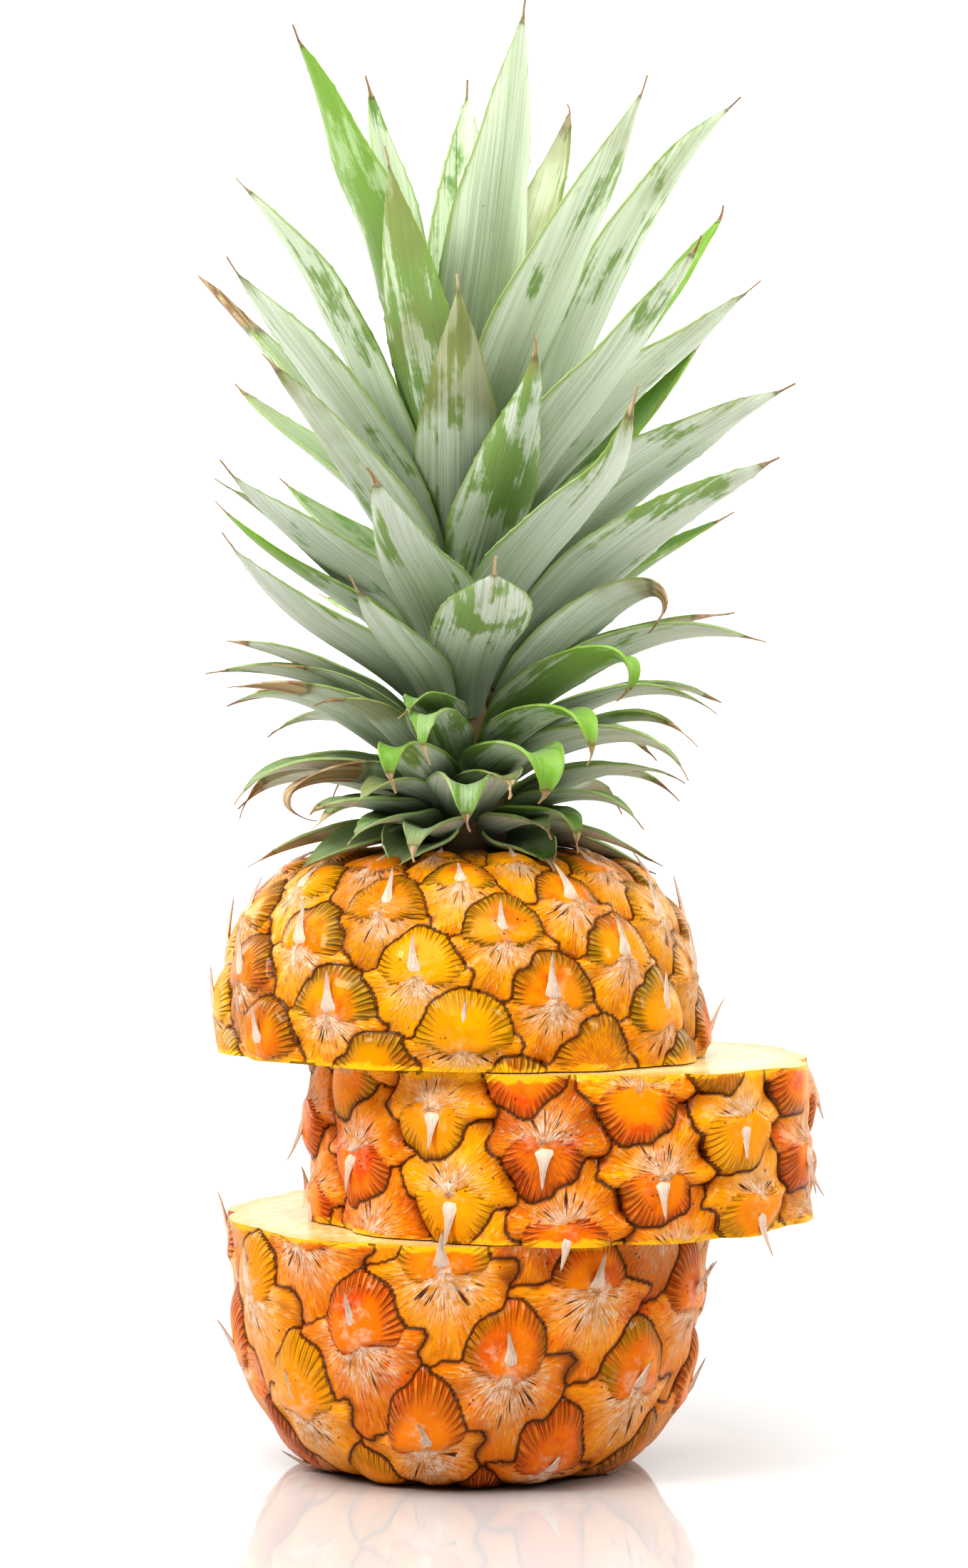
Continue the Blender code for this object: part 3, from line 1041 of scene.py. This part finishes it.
def rounded_end(spot: float, full: float, height: float, roundness: float) -> np.ndarray:
    """The profile of a rounded end, from its full width at 0 up to its flat spot.

    Args:
        spot: The flat spot's radius.
        full: The full radius.
        height: The end's height.
        roundness: The exponent of the curve: 2 is an ellipse.

    Returns:
        Rows of radius and height.
    """
    turn = np.linspace(0, math.pi / 2, 80)
    wide = np.cos(turn).clip(0) ** (2 / roundness)
    up = np.sin(turn) ** (2 / roundness)
    return np.stack([spot + (full - spot) * wide, height * up], axis=1)


GAP = 0.3
BASE_RADIUS = 59.0
REST_SPOT_RADIUS = 29.0
SLICE_RADIUS = 61.5
SLICE_SHIFT = 23.0
SHOULDER_RADIUS = 60.0
SHOULDER_HEIGHT = 50.0
SHOULDER_SHIFT = -2.0
CROWN_SEAT_RADIUS = 19.0
STEM_FOOT_RADIUS = 14.0
STEM_TAPER = 11.5
LEAF_STANDOFF = 0.6
STEM = ((STEM_FOOT_RADIUS, 0.0), (11.5, 20.0), (8.5, 44.0), (5.5, 66.0), (2.5, 88.0), (0.0, 88.3))


def raised(cut: tuple[float, float, float], height: float) -> tuple[float, float, float]:
    """A cut moved up by a height."""
    return (cut[0] + height, *cut[1:])


def base_piece() -> FruitPiece:
    """Describes the bottom of the fruit.

    Returns:
        The piece, not built yet.
    """
    end = rounded_end(REST_SPOT_RADIUS, BASE_RADIUS, LOWER_CUT[0], 2.5)
    profile = [(radius, LOWER_CUT[0] - down) for radius, down in end]
    lattice = EyeLattice((-5.4, -5.7), (21.5, 14.8), (36.94, -5.55), 8, 0.037, 0.006)
    return FruitPiece(
        "fruit_base", Palette.BASE, lattice, 0.0, profile, LOWER_CUT, FLAT_REST,
        LOWER_CUT[0], 0.0, seed=11, bract_reach=1.1,
    )


def slice_piece() -> FruitPiece:
    """Describes the middle slice, which lies upside down and to one side.

    Returns:
        The piece, not built yet.
    """
    low, high = LOWER_CUT[0] + GAP, UPPER_CUT[0]
    profile = []
    for share in np.linspace(0, 1, 30):
        profile.append((SLICE_RADIUS + math.sin(math.pi * share), low + (high - low) * share))
    lattice = EyeLattice((-5.2, 86.3 - low), (24.4, 12.0), (29.75, -7.5), 8, 0.15)
    return FruitPiece(
        "fruit_slice", Palette.SLICE, lattice, SLICE_SHIFT, profile, raised(LOWER_CUT, GAP),
        UPPER_CUT, low, high, upside_down=True, seed=23, bract_reach=1.05,
    )


def shoulder_piece() -> FruitPiece:
    """Describes the top of the fruit, with the stem of the crown.

    Returns:
        The piece, not built yet.
    """
    low = UPPER_CUT[0] + GAP
    end = rounded_end(CROWN_SEAT_RADIUS, SHOULDER_RADIUS, SHOULDER_HEIGHT, 2.6)
    profile = [(radius, low + up) for radius, up in end]
    seat = low + SHOULDER_HEIGHT
    lattice = EyeLattice((308.25, 2.56), (21.04, 9.64), (31.85, -6.03), 8)
    return FruitPiece(
        "fruit_shoulder", Palette.SHOULDER, lattice, SHOULDER_SHIFT, profile, raised(UPPER_CUT, GAP),
        (seat, 0.0, 0.0), low, seat, seed=37, stem=tuple((r, seat + up) for r, up in STEM),
    )


# --------------------------------------------------------------------- the crown

# The leaves, from the heart of the crown down.  Each has its azimuth (0 is the
# front, 90 is +X), the foot's height above the shoulder and its lean, the tip's
# reach, height and lean, the blade's width, and how far the blade rolls about its
# own length on the way up.  Leans are from upright.  Angles are in degrees and
# lengths in millimetres.
LEAVES = (
    (38, 85, 3, 27, 208, 10, 25, 0),
    (175, 84, 5, 26, 196, 12, 20, 0),
    (-50, 79, 8, 52, 200, 28, 19, 0),
    (-130, 76, 10, 31, 196, 12, 16, 0),
    (140, 80, 8, 44, 191, 18, 15, 0),
    (50, 76, 12, 59, 187, 26, 26, 0),
    (92, 65, 26, 70, 188, 46, 20, 30),
    (-25, 72, 15, 37, 171, 6, 18, 0),
    (-158, 72, 12, 50, 172, 26, 20, 0),
    (-70, 65, 20, 58, 165, 44, 18, -8),
    (122, 63, 24, 80, 166, 30, 19, 0),
    (-178, 66, 18, 66, 140, 40, 20, 0),
    (0, 66, 10, 45, 139, 12, 24, 0),
    (52, 62, 18, 73, 148, 32, 22, 0),
    (-58, 60, 18, 66, 144, 42, 18, -10),
    (-128, 59, 20, 74, 120, 48, 20, 0),
    (24, 56, 18, 50, 123, 22, 21, 0),
    (76, 52, 30, 84, 115, 62, 21, 35),
    (125, 53, 22, 77, 132, 36, 19, 0),
    (-46, 51, 18, 65, 120, 44, 19, 0),
    (170, 49, 26, 78, 92, 60, 21, 0),
    (-68, 47, 30, 63, 96, 38, 18, -20),
    (42, 45, 18, 68, 108, 34, 22, 0),
    (-86, 43, 36, 61, 87, 40, 19, 0),
    (-18, 42, 14, 62, 92, 22, 24, 0),
    (78, 40, 34, 80, 97, 62, 20, 35),
    (-150, 39, 34, 76, 66, 70, 21, 0),
    (116, 36, 40, 77, 86, 60, 18, 0),
    (-60, 34, 46, 66, 78, 34, 17, -10),
    (8, 33, 16, 66, 71, 20, 22, 0),
    (70, 32, 36, 60, 58, 160, 19, 25),
    (150, 31, 40, 76, 50, 84, 20, 0),
    (-26, 30, 26, 58, 67, 40, 15, 0),
    (84, 28, 46, 76, 52, 108, 19, 20),
    (-78, 27, 48, 64, 44, 100, 17, -15),
    (-115, 26, 48, 66, 36, 110, 18, 0),
    (48, 25, 42, 62, 40, 165, 19, 15),
    (-14, 24, 40, 56, 40, 80, 16, 0),
    (180, 23, 50, 68, 28, 120, 19, 0),
    (95, 22, 52, 66, 37, 120, 15, 0),
    (-62, 21, 50, 64, 40, 100, 15, -10),
    (34, 19, 46, 62, 26, 150, 17, 0),
    (-40, 18, 48, 54, 36, 110, 14, 0),
    (125, 18, 54, 62, 22, 140, 17, 0),
    (-10, 17, 48, 60, 28, 140, 17, 0),
    (60, 16, 52, 64, 18, 155, 19, 10),
    (-88, 15, 54, 55, 8, 168, 15, -15),
    (-145, 14, 58, 58, 12, 150, 17, 0),
    (22, 12, 50, 62, 15, 165, 21, 0),
    (-58, 12, 54, 55, 6, 174, 17, -10),
    (78, 10, 66, 57, 17, 122, 14, 10),
    (-18, 9, 56, 60, 20, 150, 18, 0),
    (2, 7, 62, 58, 10, 150, 20, 0),
    (-42, 6, 70, 54, 10, 110, 16, 0),
    (42, 5, 74, 47, 4, 140, 16, 0),
    (165, 5, 76, 48, 4, 120, 15, 0),
    (-14, 3, 80, 50, 4, 110, 16, 0),
)

# Leaves that the frame leaves out, small or tucked between the others.
MORE_LEAVES = (
    (150, 70, 16, 46, 160, 34, 17, 0),
    (74, 62, 22, 76, 140, 50, 18, 20),
    (-165, 62, 18, 58, 156, 36, 19, 0),
    (-110, 56, 26, 72, 146, 46, 18, 0),
    (-78, 44, 40, 62, 92, 60, 15, -15),
    (-72, 26, 44, 60, 52, 80, 14, -10),
    (-60, 24, 50, 52, 46, 90, 13, 0),
    (-84, 20, 56, 58, 36, 120, 14, 0),
    (-66, 13, 60, 60, 12, 150, 14, 0),
    (-50, 8, 66, 46, 6, 140, 13, 0),
    (-30, 10, 64, 50, 12, 130, 15, 0),
    (88, 24, 54, 64, 34, 130, 15, 10),
    (70, 20, 56, 62, 26, 140, 14, 0),
    (58, 8, 66, 52, 6, 150, 14, 0),
    (30, 4, 76, 46, 4, 130, 15, 0),
    (100, 12, 62, 56, 12, 140, 15, 0),
    (140, 44, 30, 74, 88, 54, 19, 0),
    (-140, 48, 28, 74, 96, 54, 19, 0),
    (-165, 30, 40, 72, 56, 74, 19, 0),
    (160, 24, 48, 70, 40, 96, 18, 0),
    (-130, 20, 52, 66, 28, 120, 18, 0),
    (-105, 10, 60, 58, 10, 140, 17, 0),
    (130, 8, 64, 56, 8, 140, 17, 0),
    (-170, 8, 64, 54, 8, 140, 17, 0),
    (108, 30, 44, 74, 60, 84, 17, 0),
    (-24, 2, 86, 41, -5, 134, 21, 8),
    (-56, 3, 80, 50, -5, 112, 17, 12),
    (37, 1, 88, 39, -4, 136, 20, -10),
    (64, 4, 76, 55, -3, 118, 13, 10),
    (92, 2, 84, 49, -6, 110, 18, 0),
    (-86, 3, 80, 53, -4, 120, 14, -10),
    (116, 2, 82, 46, -5, 122, 17, 0),
    (146, 3, 80, 50, -3, 118, 15, 10),
    (174, 2, 82, 44, -5, 126, 18, 0),
    (-160, 3, 82, 51, -4, 116, 14, 0),
    (-128, 2, 84, 46, -5, 122, 18, -10),
    (14, 8, 62, 56, 14, 140, 18, 0),
    (-30, 5, 74, 54, 3, 122, 16, 0),
)


@dataclass(frozen=True)
class Quirk:
    """What sets one leaf apart: its dry part, its greenness, and its curl."""

    dry: float = 0.04
    green: float = 0.0
    curl: float = 0.0
    crease: float = 0.0
    blunt: float = 0.0
    cup: float = 0.0
    droop: float = 0.0
    aged: float = 0.0


QUIRKS = {
    1: Quirk(green=-0.7), 3: Quirk(green=1.0), 4: Quirk(green=-0.3),
    5: Quirk(dry=0.07, aged=0.5), 8: Quirk(green=0.7, aged=0.5),
    11: Quirk(green=0.9), 13: Quirk(dry=0.05, green=0.7, crease=0.5, aged=1.0),
    15: Quirk(dry=0.06), 17: Quirk(dry=0.07, green=0.7, curl=0.8, cup=0.6), 19: Quirk(green=0.8),
    20: Quirk(dry=0.06, cup=0.7, aged=0.6), 23: Quirk(dry=0.08, droop=-0.4), 24: Quirk(green=0.9),
    25: Quirk(dry=0.03, cup=0.4), 28: Quirk(green=0.5), 30: Quirk(blunt=1.0, green=0.3),
    31: Quirk(dry=0.30, droop=1.3, aged=0.6), 33: Quirk(dry=0.10), 36: Quirk(dry=0.4, aged=0.8),
    37: Quirk(green=1.0, droop=1.3), 38: Quirk(green=0.6, droop=0.6), 41: Quirk(dry=0.4, curl=0.5),
    42: Quirk(green=1.0, droop=0.6), 43: Quirk(dry=0.2, aged=1.0), 45: Quirk(green=0.6, droop=1.0),
    47: Quirk(dry=0.3, aged=0.8), 49: Quirk(green=1.0, droop=1.2), 50: Quirk(dry=0.7, droop=1.6),
    52: Quirk(green=0.5, droop=1.1), 53: Quirk(green=0.5, droop=1.2), 55: Quirk(green=0.4, droop=0.8),
    56: Quirk(dry=0.5), 57: Quirk(green=0.4, droop=0.7),
}


@dataclass
class CrownLeaf:
    """One leaf of the crown, channelled, with spiny edges and a dry thread at its tip."""

    name: str
    azimuth: float
    foot: float
    foot_lean: float
    reach: float
    height: float
    tip_lean: float
    width: float
    roll: float
    number: int
    quirk: Quirk = Quirk()
    columns: int = 12
    thickness: float = 0.8 * MM
    fullness: float = 1.12
    station: float = 1.25 * MM

    def blade_width(self, t: np.ndarray, taper: float, thread: float) -> np.ndarray:
        """The blade's width along its length, as a share of its full width.

        Args:
            t: How far along, from 0 to 1.
            taper: The share of the length that narrows to the tip.
            thread: The share of the length that is the dry thread at the tip.

        Returns:
            The shares.
        """
        neck = 0.48 + 0.52 * np.sin(math.pi / 2 * np.clip(t / 0.38, 0, 1))
        blade = np.clip(t / (1 - thread), 0, 1)
        taper = taper * (1 - 0.45 * self.quirk.blunt)
        point = 1 - np.clip(1 - (1 - blade) / taper, 0, 1) ** (1.6 + 1.2 * self.quirk.blunt)
        return neck * np.maximum(point, 0.022)

    def build(self) -> bpy.types.Object:
        """Makes the leaf.

        Returns:
            The leaf.
        """
        rng = np.random.default_rng(500 + self.number)
        angles = (self.azimuth, self.foot_lean, self.tip_lean)
        turn, foot_lean, tip_lean = (math.radians(angle) for angle in angles)
        outwards = np.array([math.sin(turn), -math.cos(turn), 0.0])
        across = np.array([math.cos(turn), math.sin(turn), 0.0])
        upwards = np.array([0.0, 0.0, 1.0])
        seat = np.array([SHOULDER_SHIFT * MM, 0.0, CROWN_SEAT.z])
        stem = (STEM_FOOT_RADIUS - STEM_TAPER * self.foot * MM / STEM_HEIGHT + LEAF_STANDOFF) * MM
        start = seat + outwards * stem + upwards * self.foot * MM
        end = seat + outwards * self.reach * MM + upwards * self.height * MM
        length = float(np.linalg.norm(end - start))
        taper = min(2.6 * self.width * MM / length, 0.8)
        pull = length * 0.36
        after = start + (outwards * math.sin(foot_lean) + upwards * math.cos(foot_lean)) * pull
        before = end - (outwards * math.sin(tip_lean) + upwards * math.cos(tip_lean)) * pull
        count = int(length / self.station) + 2
        t = np.linspace(0, 1, count)
        s = 1 - t
        curve = (s**3, 3 * s * s * t, 3 * s * t * t, t**3)
        centre = sum(w[:, None] * p for w, p in zip(curve, (start, after, before, end)))
        sway = rng.uniform(-1, 1, 2)
        drift = (sway[0] * np.sin(t * math.pi * 1.5) * t + sway[1] * t**3) * 0.012 * length
        centre = centre + drift[:, None] * across
        thread = rng.uniform(1.5, 4.5) * MM / length
        hook = rng.uniform(-1.6, 1.6) * MM * np.clip(1 - (1 - t) / (2 * thread), 0, 1) ** 2
        centre = centre + hook[:, None] * across
        centre = self.drooped(centre, t, outwards)
        forwards = np.gradient(centre, axis=0)
        forwards /= np.linalg.norm(forwards, axis=1)[:, None]
        rolled = -math.radians(self.roll) * np.clip(t / 0.4, 0, 1)
        side = np.broadcast_to(across, forwards.shape).copy()
        side -= (side * forwards).sum(axis=1)[:, None] * forwards
        side /= np.linalg.norm(side, axis=1)[:, None]
        over = np.cross(forwards, side)
        side, over = (
            side * np.cos(rolled)[:, None] + over * np.sin(rolled)[:, None],
            over * np.cos(rolled)[:, None] - side * np.sin(rolled)[:, None],
        )
        half = self.width * self.fullness * MM * self.blade_width(t, taper, thread) / 2
        columns = np.linspace(-1, 1, self.columns + 1)
        columns = np.sign(columns) * np.abs(columns) ** 0.85
        channel = math.radians(40) + math.radians(38) * (1 - step(t, 0.0, 0.5))
        channel = channel * (1 + self.quirk.cup * 1.2 * step(t, 0.4, 0.9))
        arc = columns[None] * channel[:, None]
        sideways = half[:, None] * np.sin(arc) / channel[:, None]
        lift = half[:, None] * (1 - np.cos(arc)) / channel[:, None]
        ruffle = ripples(rng, t[:, None] * length / MM, columns[None] * 4, 34.0, 5)
        lift = lift + ruffle * 0.5 * MM * np.abs(columns)[None] ** 2 * step(t, 0.1, 0.5)[:, None]
        keel = 0.5 * MM * np.exp(-((columns / 0.16) ** 2))
        lift = lift - keel[None] * (1 - t)[:, None]
        spines = self.spine_teeth(rng, len(t))
        reach_out = spines * step(t, 0.05, 0.2) * (1 - step(t, 0.93, 1.0))
        sideways[:, 0] -= reach_out * MM
        sideways[:, -1] += np.roll(reach_out, 2) * MM
        lift = lift * (1 - step(t, 1 - 2 * thread, 1.0) * 0.7)[:, None]
        if self.quirk.curl:
            bent = self.quirk.curl * step(t, 0.8, 1.0)
            centre = centre + (outwards * -0.05 + upwards * 0.04) * (bent**2 * length)[:, None]
        if self.quirk.crease:
            folds = np.sin(t * 18) * step(t, 0.55, 0.8)
            lift = lift + self.quirk.crease * 2.0 * MM * folds[:, None]
        points = centre[:, None] + sideways[..., None] * side[:, None] + lift[..., None] * over[:, None]
        leaf = sheet(self.name, points)
        self.mark(leaf, rng, t, columns, length, half)
        tip = leaf.vertex_groups.new(name="thickness")
        for row, thin in enumerate(np.clip((1 - t) / (5 * thread), 0.25, 1)):
            tip.add(range(row * len(columns), (row + 1) * len(columns)), float(thin), "REPLACE")
        wall = leaf.modifiers.new("Thickness", "SOLIDIFY")
        wall.vertex_group = "thickness"
        wall.thickness = self.thickness
        wall.offset = 0
        wall.material_offset = 1
        leaf.data.materials.append(LEAF_OUTER)
        leaf.data.materials.append(LEAF_INNER)
        apply_modifiers(leaf)
        smooth(leaf, 60)
        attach(leaf, "root")
        return leaf

    def drooped(self, centre: np.ndarray, t: np.ndarray, outwards: np.ndarray) -> np.ndarray:
        """The leaf's midline with its tip bent down, if this leaf droops.

        Args:
            centre: The midline's points.
            t: How far along each is, from 0 to 1.
            outwards: The level direction in which the leaf leans.

        Returns:
            The bent midline.
        """
        turn = self.quirk.droop * step(t[1:], 0.68, 0.88)
        steps = np.diff(centre, axis=0)
        out = steps @ outwards
        change_out = out * np.cos(turn) + steps[:, 2] * np.sin(turn) - out
        change_up = steps[:, 2] * np.cos(turn) - out * np.sin(turn) - steps[:, 2]
        steps = steps + change_out[:, None] * outwards
        steps[:, 2] += change_up
        return np.concatenate([centre[:1], centre[0] + np.cumsum(steps, axis=0)])

    def spine_teeth(self, rng: np.random.Generator, count: int) -> np.ndarray:
        """How far the edge stands out at each station, in millimetres."""
        every = rng.integers(4, 7)
        return (np.arange(count) % every == 0) * rng.uniform(0.0, 0.45, count)

    def mark(self, leaf: bpy.types.Object, rng: np.random.Generator, t: np.ndarray,
             columns: np.ndarray, length: float, half: np.ndarray) -> None:
        """Stores what the leaf's finish reads.

        Args:
            leaf: The leaf.
            rng: The source of its differences.
            t: The stations along it.
            columns: The places across it.
            length: Its length in metres.
            half: Half its width at each station.
        """
        tone, rubbed = rng.uniform(0, 1, 2)
        if self.quirk.dry > 0.04:
            dry = step(t, 0.92 - self.quirk.dry, 1.1 - 0.8 * self.quirk.dry)
        else:
            dry = step(t, 1 - 8.0 * MM / length, 1 - 1.0 * MM / length)
        shape = np.broadcast_shapes(t[:, None].shape, columns[None].shape)
        values = (columns[None], t[:, None], tone, dry[:, None])
        place = [np.broadcast_to(value, shape) for value in values]
        green = self.quirk.green * 0.6 + 0.4 * rubbed
        values = (half[:, None], length, green, self.quirk.aged)
        sizes = [np.broadcast_to(value, shape) for value in values]
        set_attribute(leaf, "leaf_place", np.stack(place, axis=-1).reshape(-1, 4))
        set_attribute(leaf, "leaf_size", np.stack(sizes, axis=-1).reshape(-1, 4))


LEAF_OUTER = LeafFinish(LeafFace.OUTER).build()
LEAF_INNER = LeafFinish(LeafFace.INNER).build()


@dataclass
class Crown:
    """The crown: all its leaves."""

    def build(self) -> list[bpy.types.Object]:
        """Makes the leaves.

        Returns:
            The leaves.
        """
        made = []
        for number, sizes in enumerate(LEAVES, start=1):
            name = f"crown_leaf_{number:02}"
            quirk = QUIRKS.get(number, Quirk())
            leaf = CrownLeaf(f"{name}_blade", *sizes, number=number, quirk=quirk).build()
            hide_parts(name)
            made.append(leaf)
        for number, sizes in enumerate(MORE_LEAVES, start=1):
            quirk = Quirk(dry=(0.02, 0.2, 0.06)[number % 3], aged=0.5 * (number % 2))
            leaf = CrownLeaf(f"tucked_leaf_{number:02}", *sizes, number=100 + number, quirk=quirk)
            made.append(leaf.build())
        return made


# -------------------------------------------------------------------- the studio


@dataclass
class Studio:
    """The white table, the soft lights and the camera."""

    floor_half: float = 2.5
    camera_place: tuple[float, float, float] = (3.9 * MM, -1.0, 188 * MM)
    camera_tilt: float = 1.07
    lens: float = 91.96
    sensor: float = 36.0
    lamp_aim: tuple[float, float, float] = (0.0, 0.0, 0.17)
    sun_strength: float = 1.86
    sun_spread: float = 50.0
    sun_tilt: tuple[float, float] = (28.0, -12.0)
    backdrop: float = 1.02
    front_wall: float = 0.16
    back_wall: float = 0.85

    def build(self) -> None:
        """Makes the floor, the lights, the world and the camera."""
        self.floor()
        self.lamp("window_left", (-0.65, -0.6, 0.8), 0.3, 4.4)
        self.lamp("window_right", (0.8, -0.45, 0.6), 0.25, 2.2)
        self.lamp("rim_left", (-0.7, 0.6, 0.5), 0.5, 2.4)
        self.lamp("rim_right", (0.7, 0.6, 0.5), 0.5, 2.4)
        self.overhead()
        self.room()
        bpy.context.scene.view_settings.view_transform = "Standard"
        bpy.context.scene.view_settings.look = "High Contrast"
        self.camera()

    def overhead(self) -> None:
        """A very wide soft light from above and in front, even over the whole table."""
        data = bpy.data.lights.new("overhead", "SUN")
        data.energy = self.sun_strength
        data.angle = math.radians(self.sun_spread)
        lamp = bpy.data.objects.new("overhead", data)
        lamp.rotation_euler = (*map(math.radians, self.sun_tilt), 0)
        bpy.context.scene.collection.objects.link(lamp)

    def room(self) -> None:
        """A white room with a bright wall behind the fruit and a dim one in front."""
        world = bpy.data.worlds.new("studio_white")
        world.use_nodes = True
        world.node_tree.nodes.remove(world.node_tree.nodes["Background"])
        nodes = Nodes(world.node_tree)
        white = (1.0, 1.0, 1.0)
        y = nodes.parts(nodes.node("ShaderNodeTexCoord", {}, {}, "Generated"))[1]
        limits = {"Value": y, "From Min": -0.5, "From Max": 0.6}
        limits |= {"To Min": self.front_wall, "To Max": self.back_wall}
        strength = nodes.node("ShaderNodeMapRange", {}, limits)
        given = nodes.node("ShaderNodeBackground", {}, {"Color": white, "Strength": strength})
        seen = nodes.node("ShaderNodeBackground", {}, {"Color": white, "Strength": self.backdrop})
        by_camera = nodes.node("ShaderNodeLightPath", {}, {}, "Is Camera Ray")
        chosen = nodes.node("ShaderNodeMixShader", {}, {0: by_camera, 1: given, 2: seen})
        nodes.feed(world.node_tree.nodes["World Output"].inputs[0], chosen)
        bpy.context.scene.world = world

    def floor(self) -> None:
        """The pale, slightly glossy table."""
        select()
        bpy.ops.mesh.primitive_grid_add(x_subdivisions=8, y_subdivisions=8, size=2 * self.floor_half)
        floor = bpy.context.active_object
        floor.name = "floor"
        finish = Finish("floor_white", ior=1.6)
        place = finish.place()
        far = finish.node("ShaderNodeVectorMath", {"operation": "LENGTH"}, {0: place}, "Value")
        near = 1.0 - far.ramp(0.45, 1.1)
        haze = finish.noise(place, 40.0)
        glossy = finish.mix(haze * 0.2, (0.62, 0.62, 0.62), (0.60, 0.60, 0.61))
        finish.colour(finish.mix(near, (0.97, 0.97, 0.97), glossy))
        finish.roughness(0.85 - near * 0.8)
        floor.data.materials.append(finish.material)

    def lamp(self, name: str, place: tuple[float, float, float], size: float, watts: float) -> None:
        """Adds a square soft light that faces the pineapple.

        Args:
            name: Its name.
            place: Where it is, in metres.
            size: Its side, in metres.
            watts: Its power.
        """
        data = bpy.data.lights.new(name, "AREA")
        data.size = size
        data.energy = watts
        lamp = bpy.data.objects.new(name, data)
        lamp.location = place
        aim = Vector(self.lamp_aim) - Vector(place)
        lamp.rotation_euler = aim.to_track_quat("-Z", "Y").to_euler()
        bpy.context.scene.collection.objects.link(lamp)

    def camera(self) -> None:
        """The camera, level with the crown's foot and a little below the horizon."""
        data = bpy.data.cameras.new("camera")
        data.lens = self.lens
        data.sensor_width = self.sensor
        camera = bpy.data.objects.new("camera", data)
        camera.location = self.camera_place
        camera.rotation_euler = (math.radians(90 - self.camera_tilt), 0, 0)
        bpy.context.scene.collection.objects.link(camera)
        bpy.context.scene.camera = camera


def main() -> None:
    """Builds the pineapple and its studio."""
    logging.basicConfig(level=logging.INFO)
    Studio().build()
    for piece in (base_piece(), slice_piece(), shoulder_piece()):
        body, spikes = piece.build()
        for made in (body, spikes):
            LOG.info("%s: %d faces", made.name, len(made.data.polygons))
    leaves = Crown().build()
    LOG.info("%d leaves, %d faces", len(leaves), sum(len(leaf.data.polygons) for leaf in leaves))


if __name__ == "__main__":
    main()
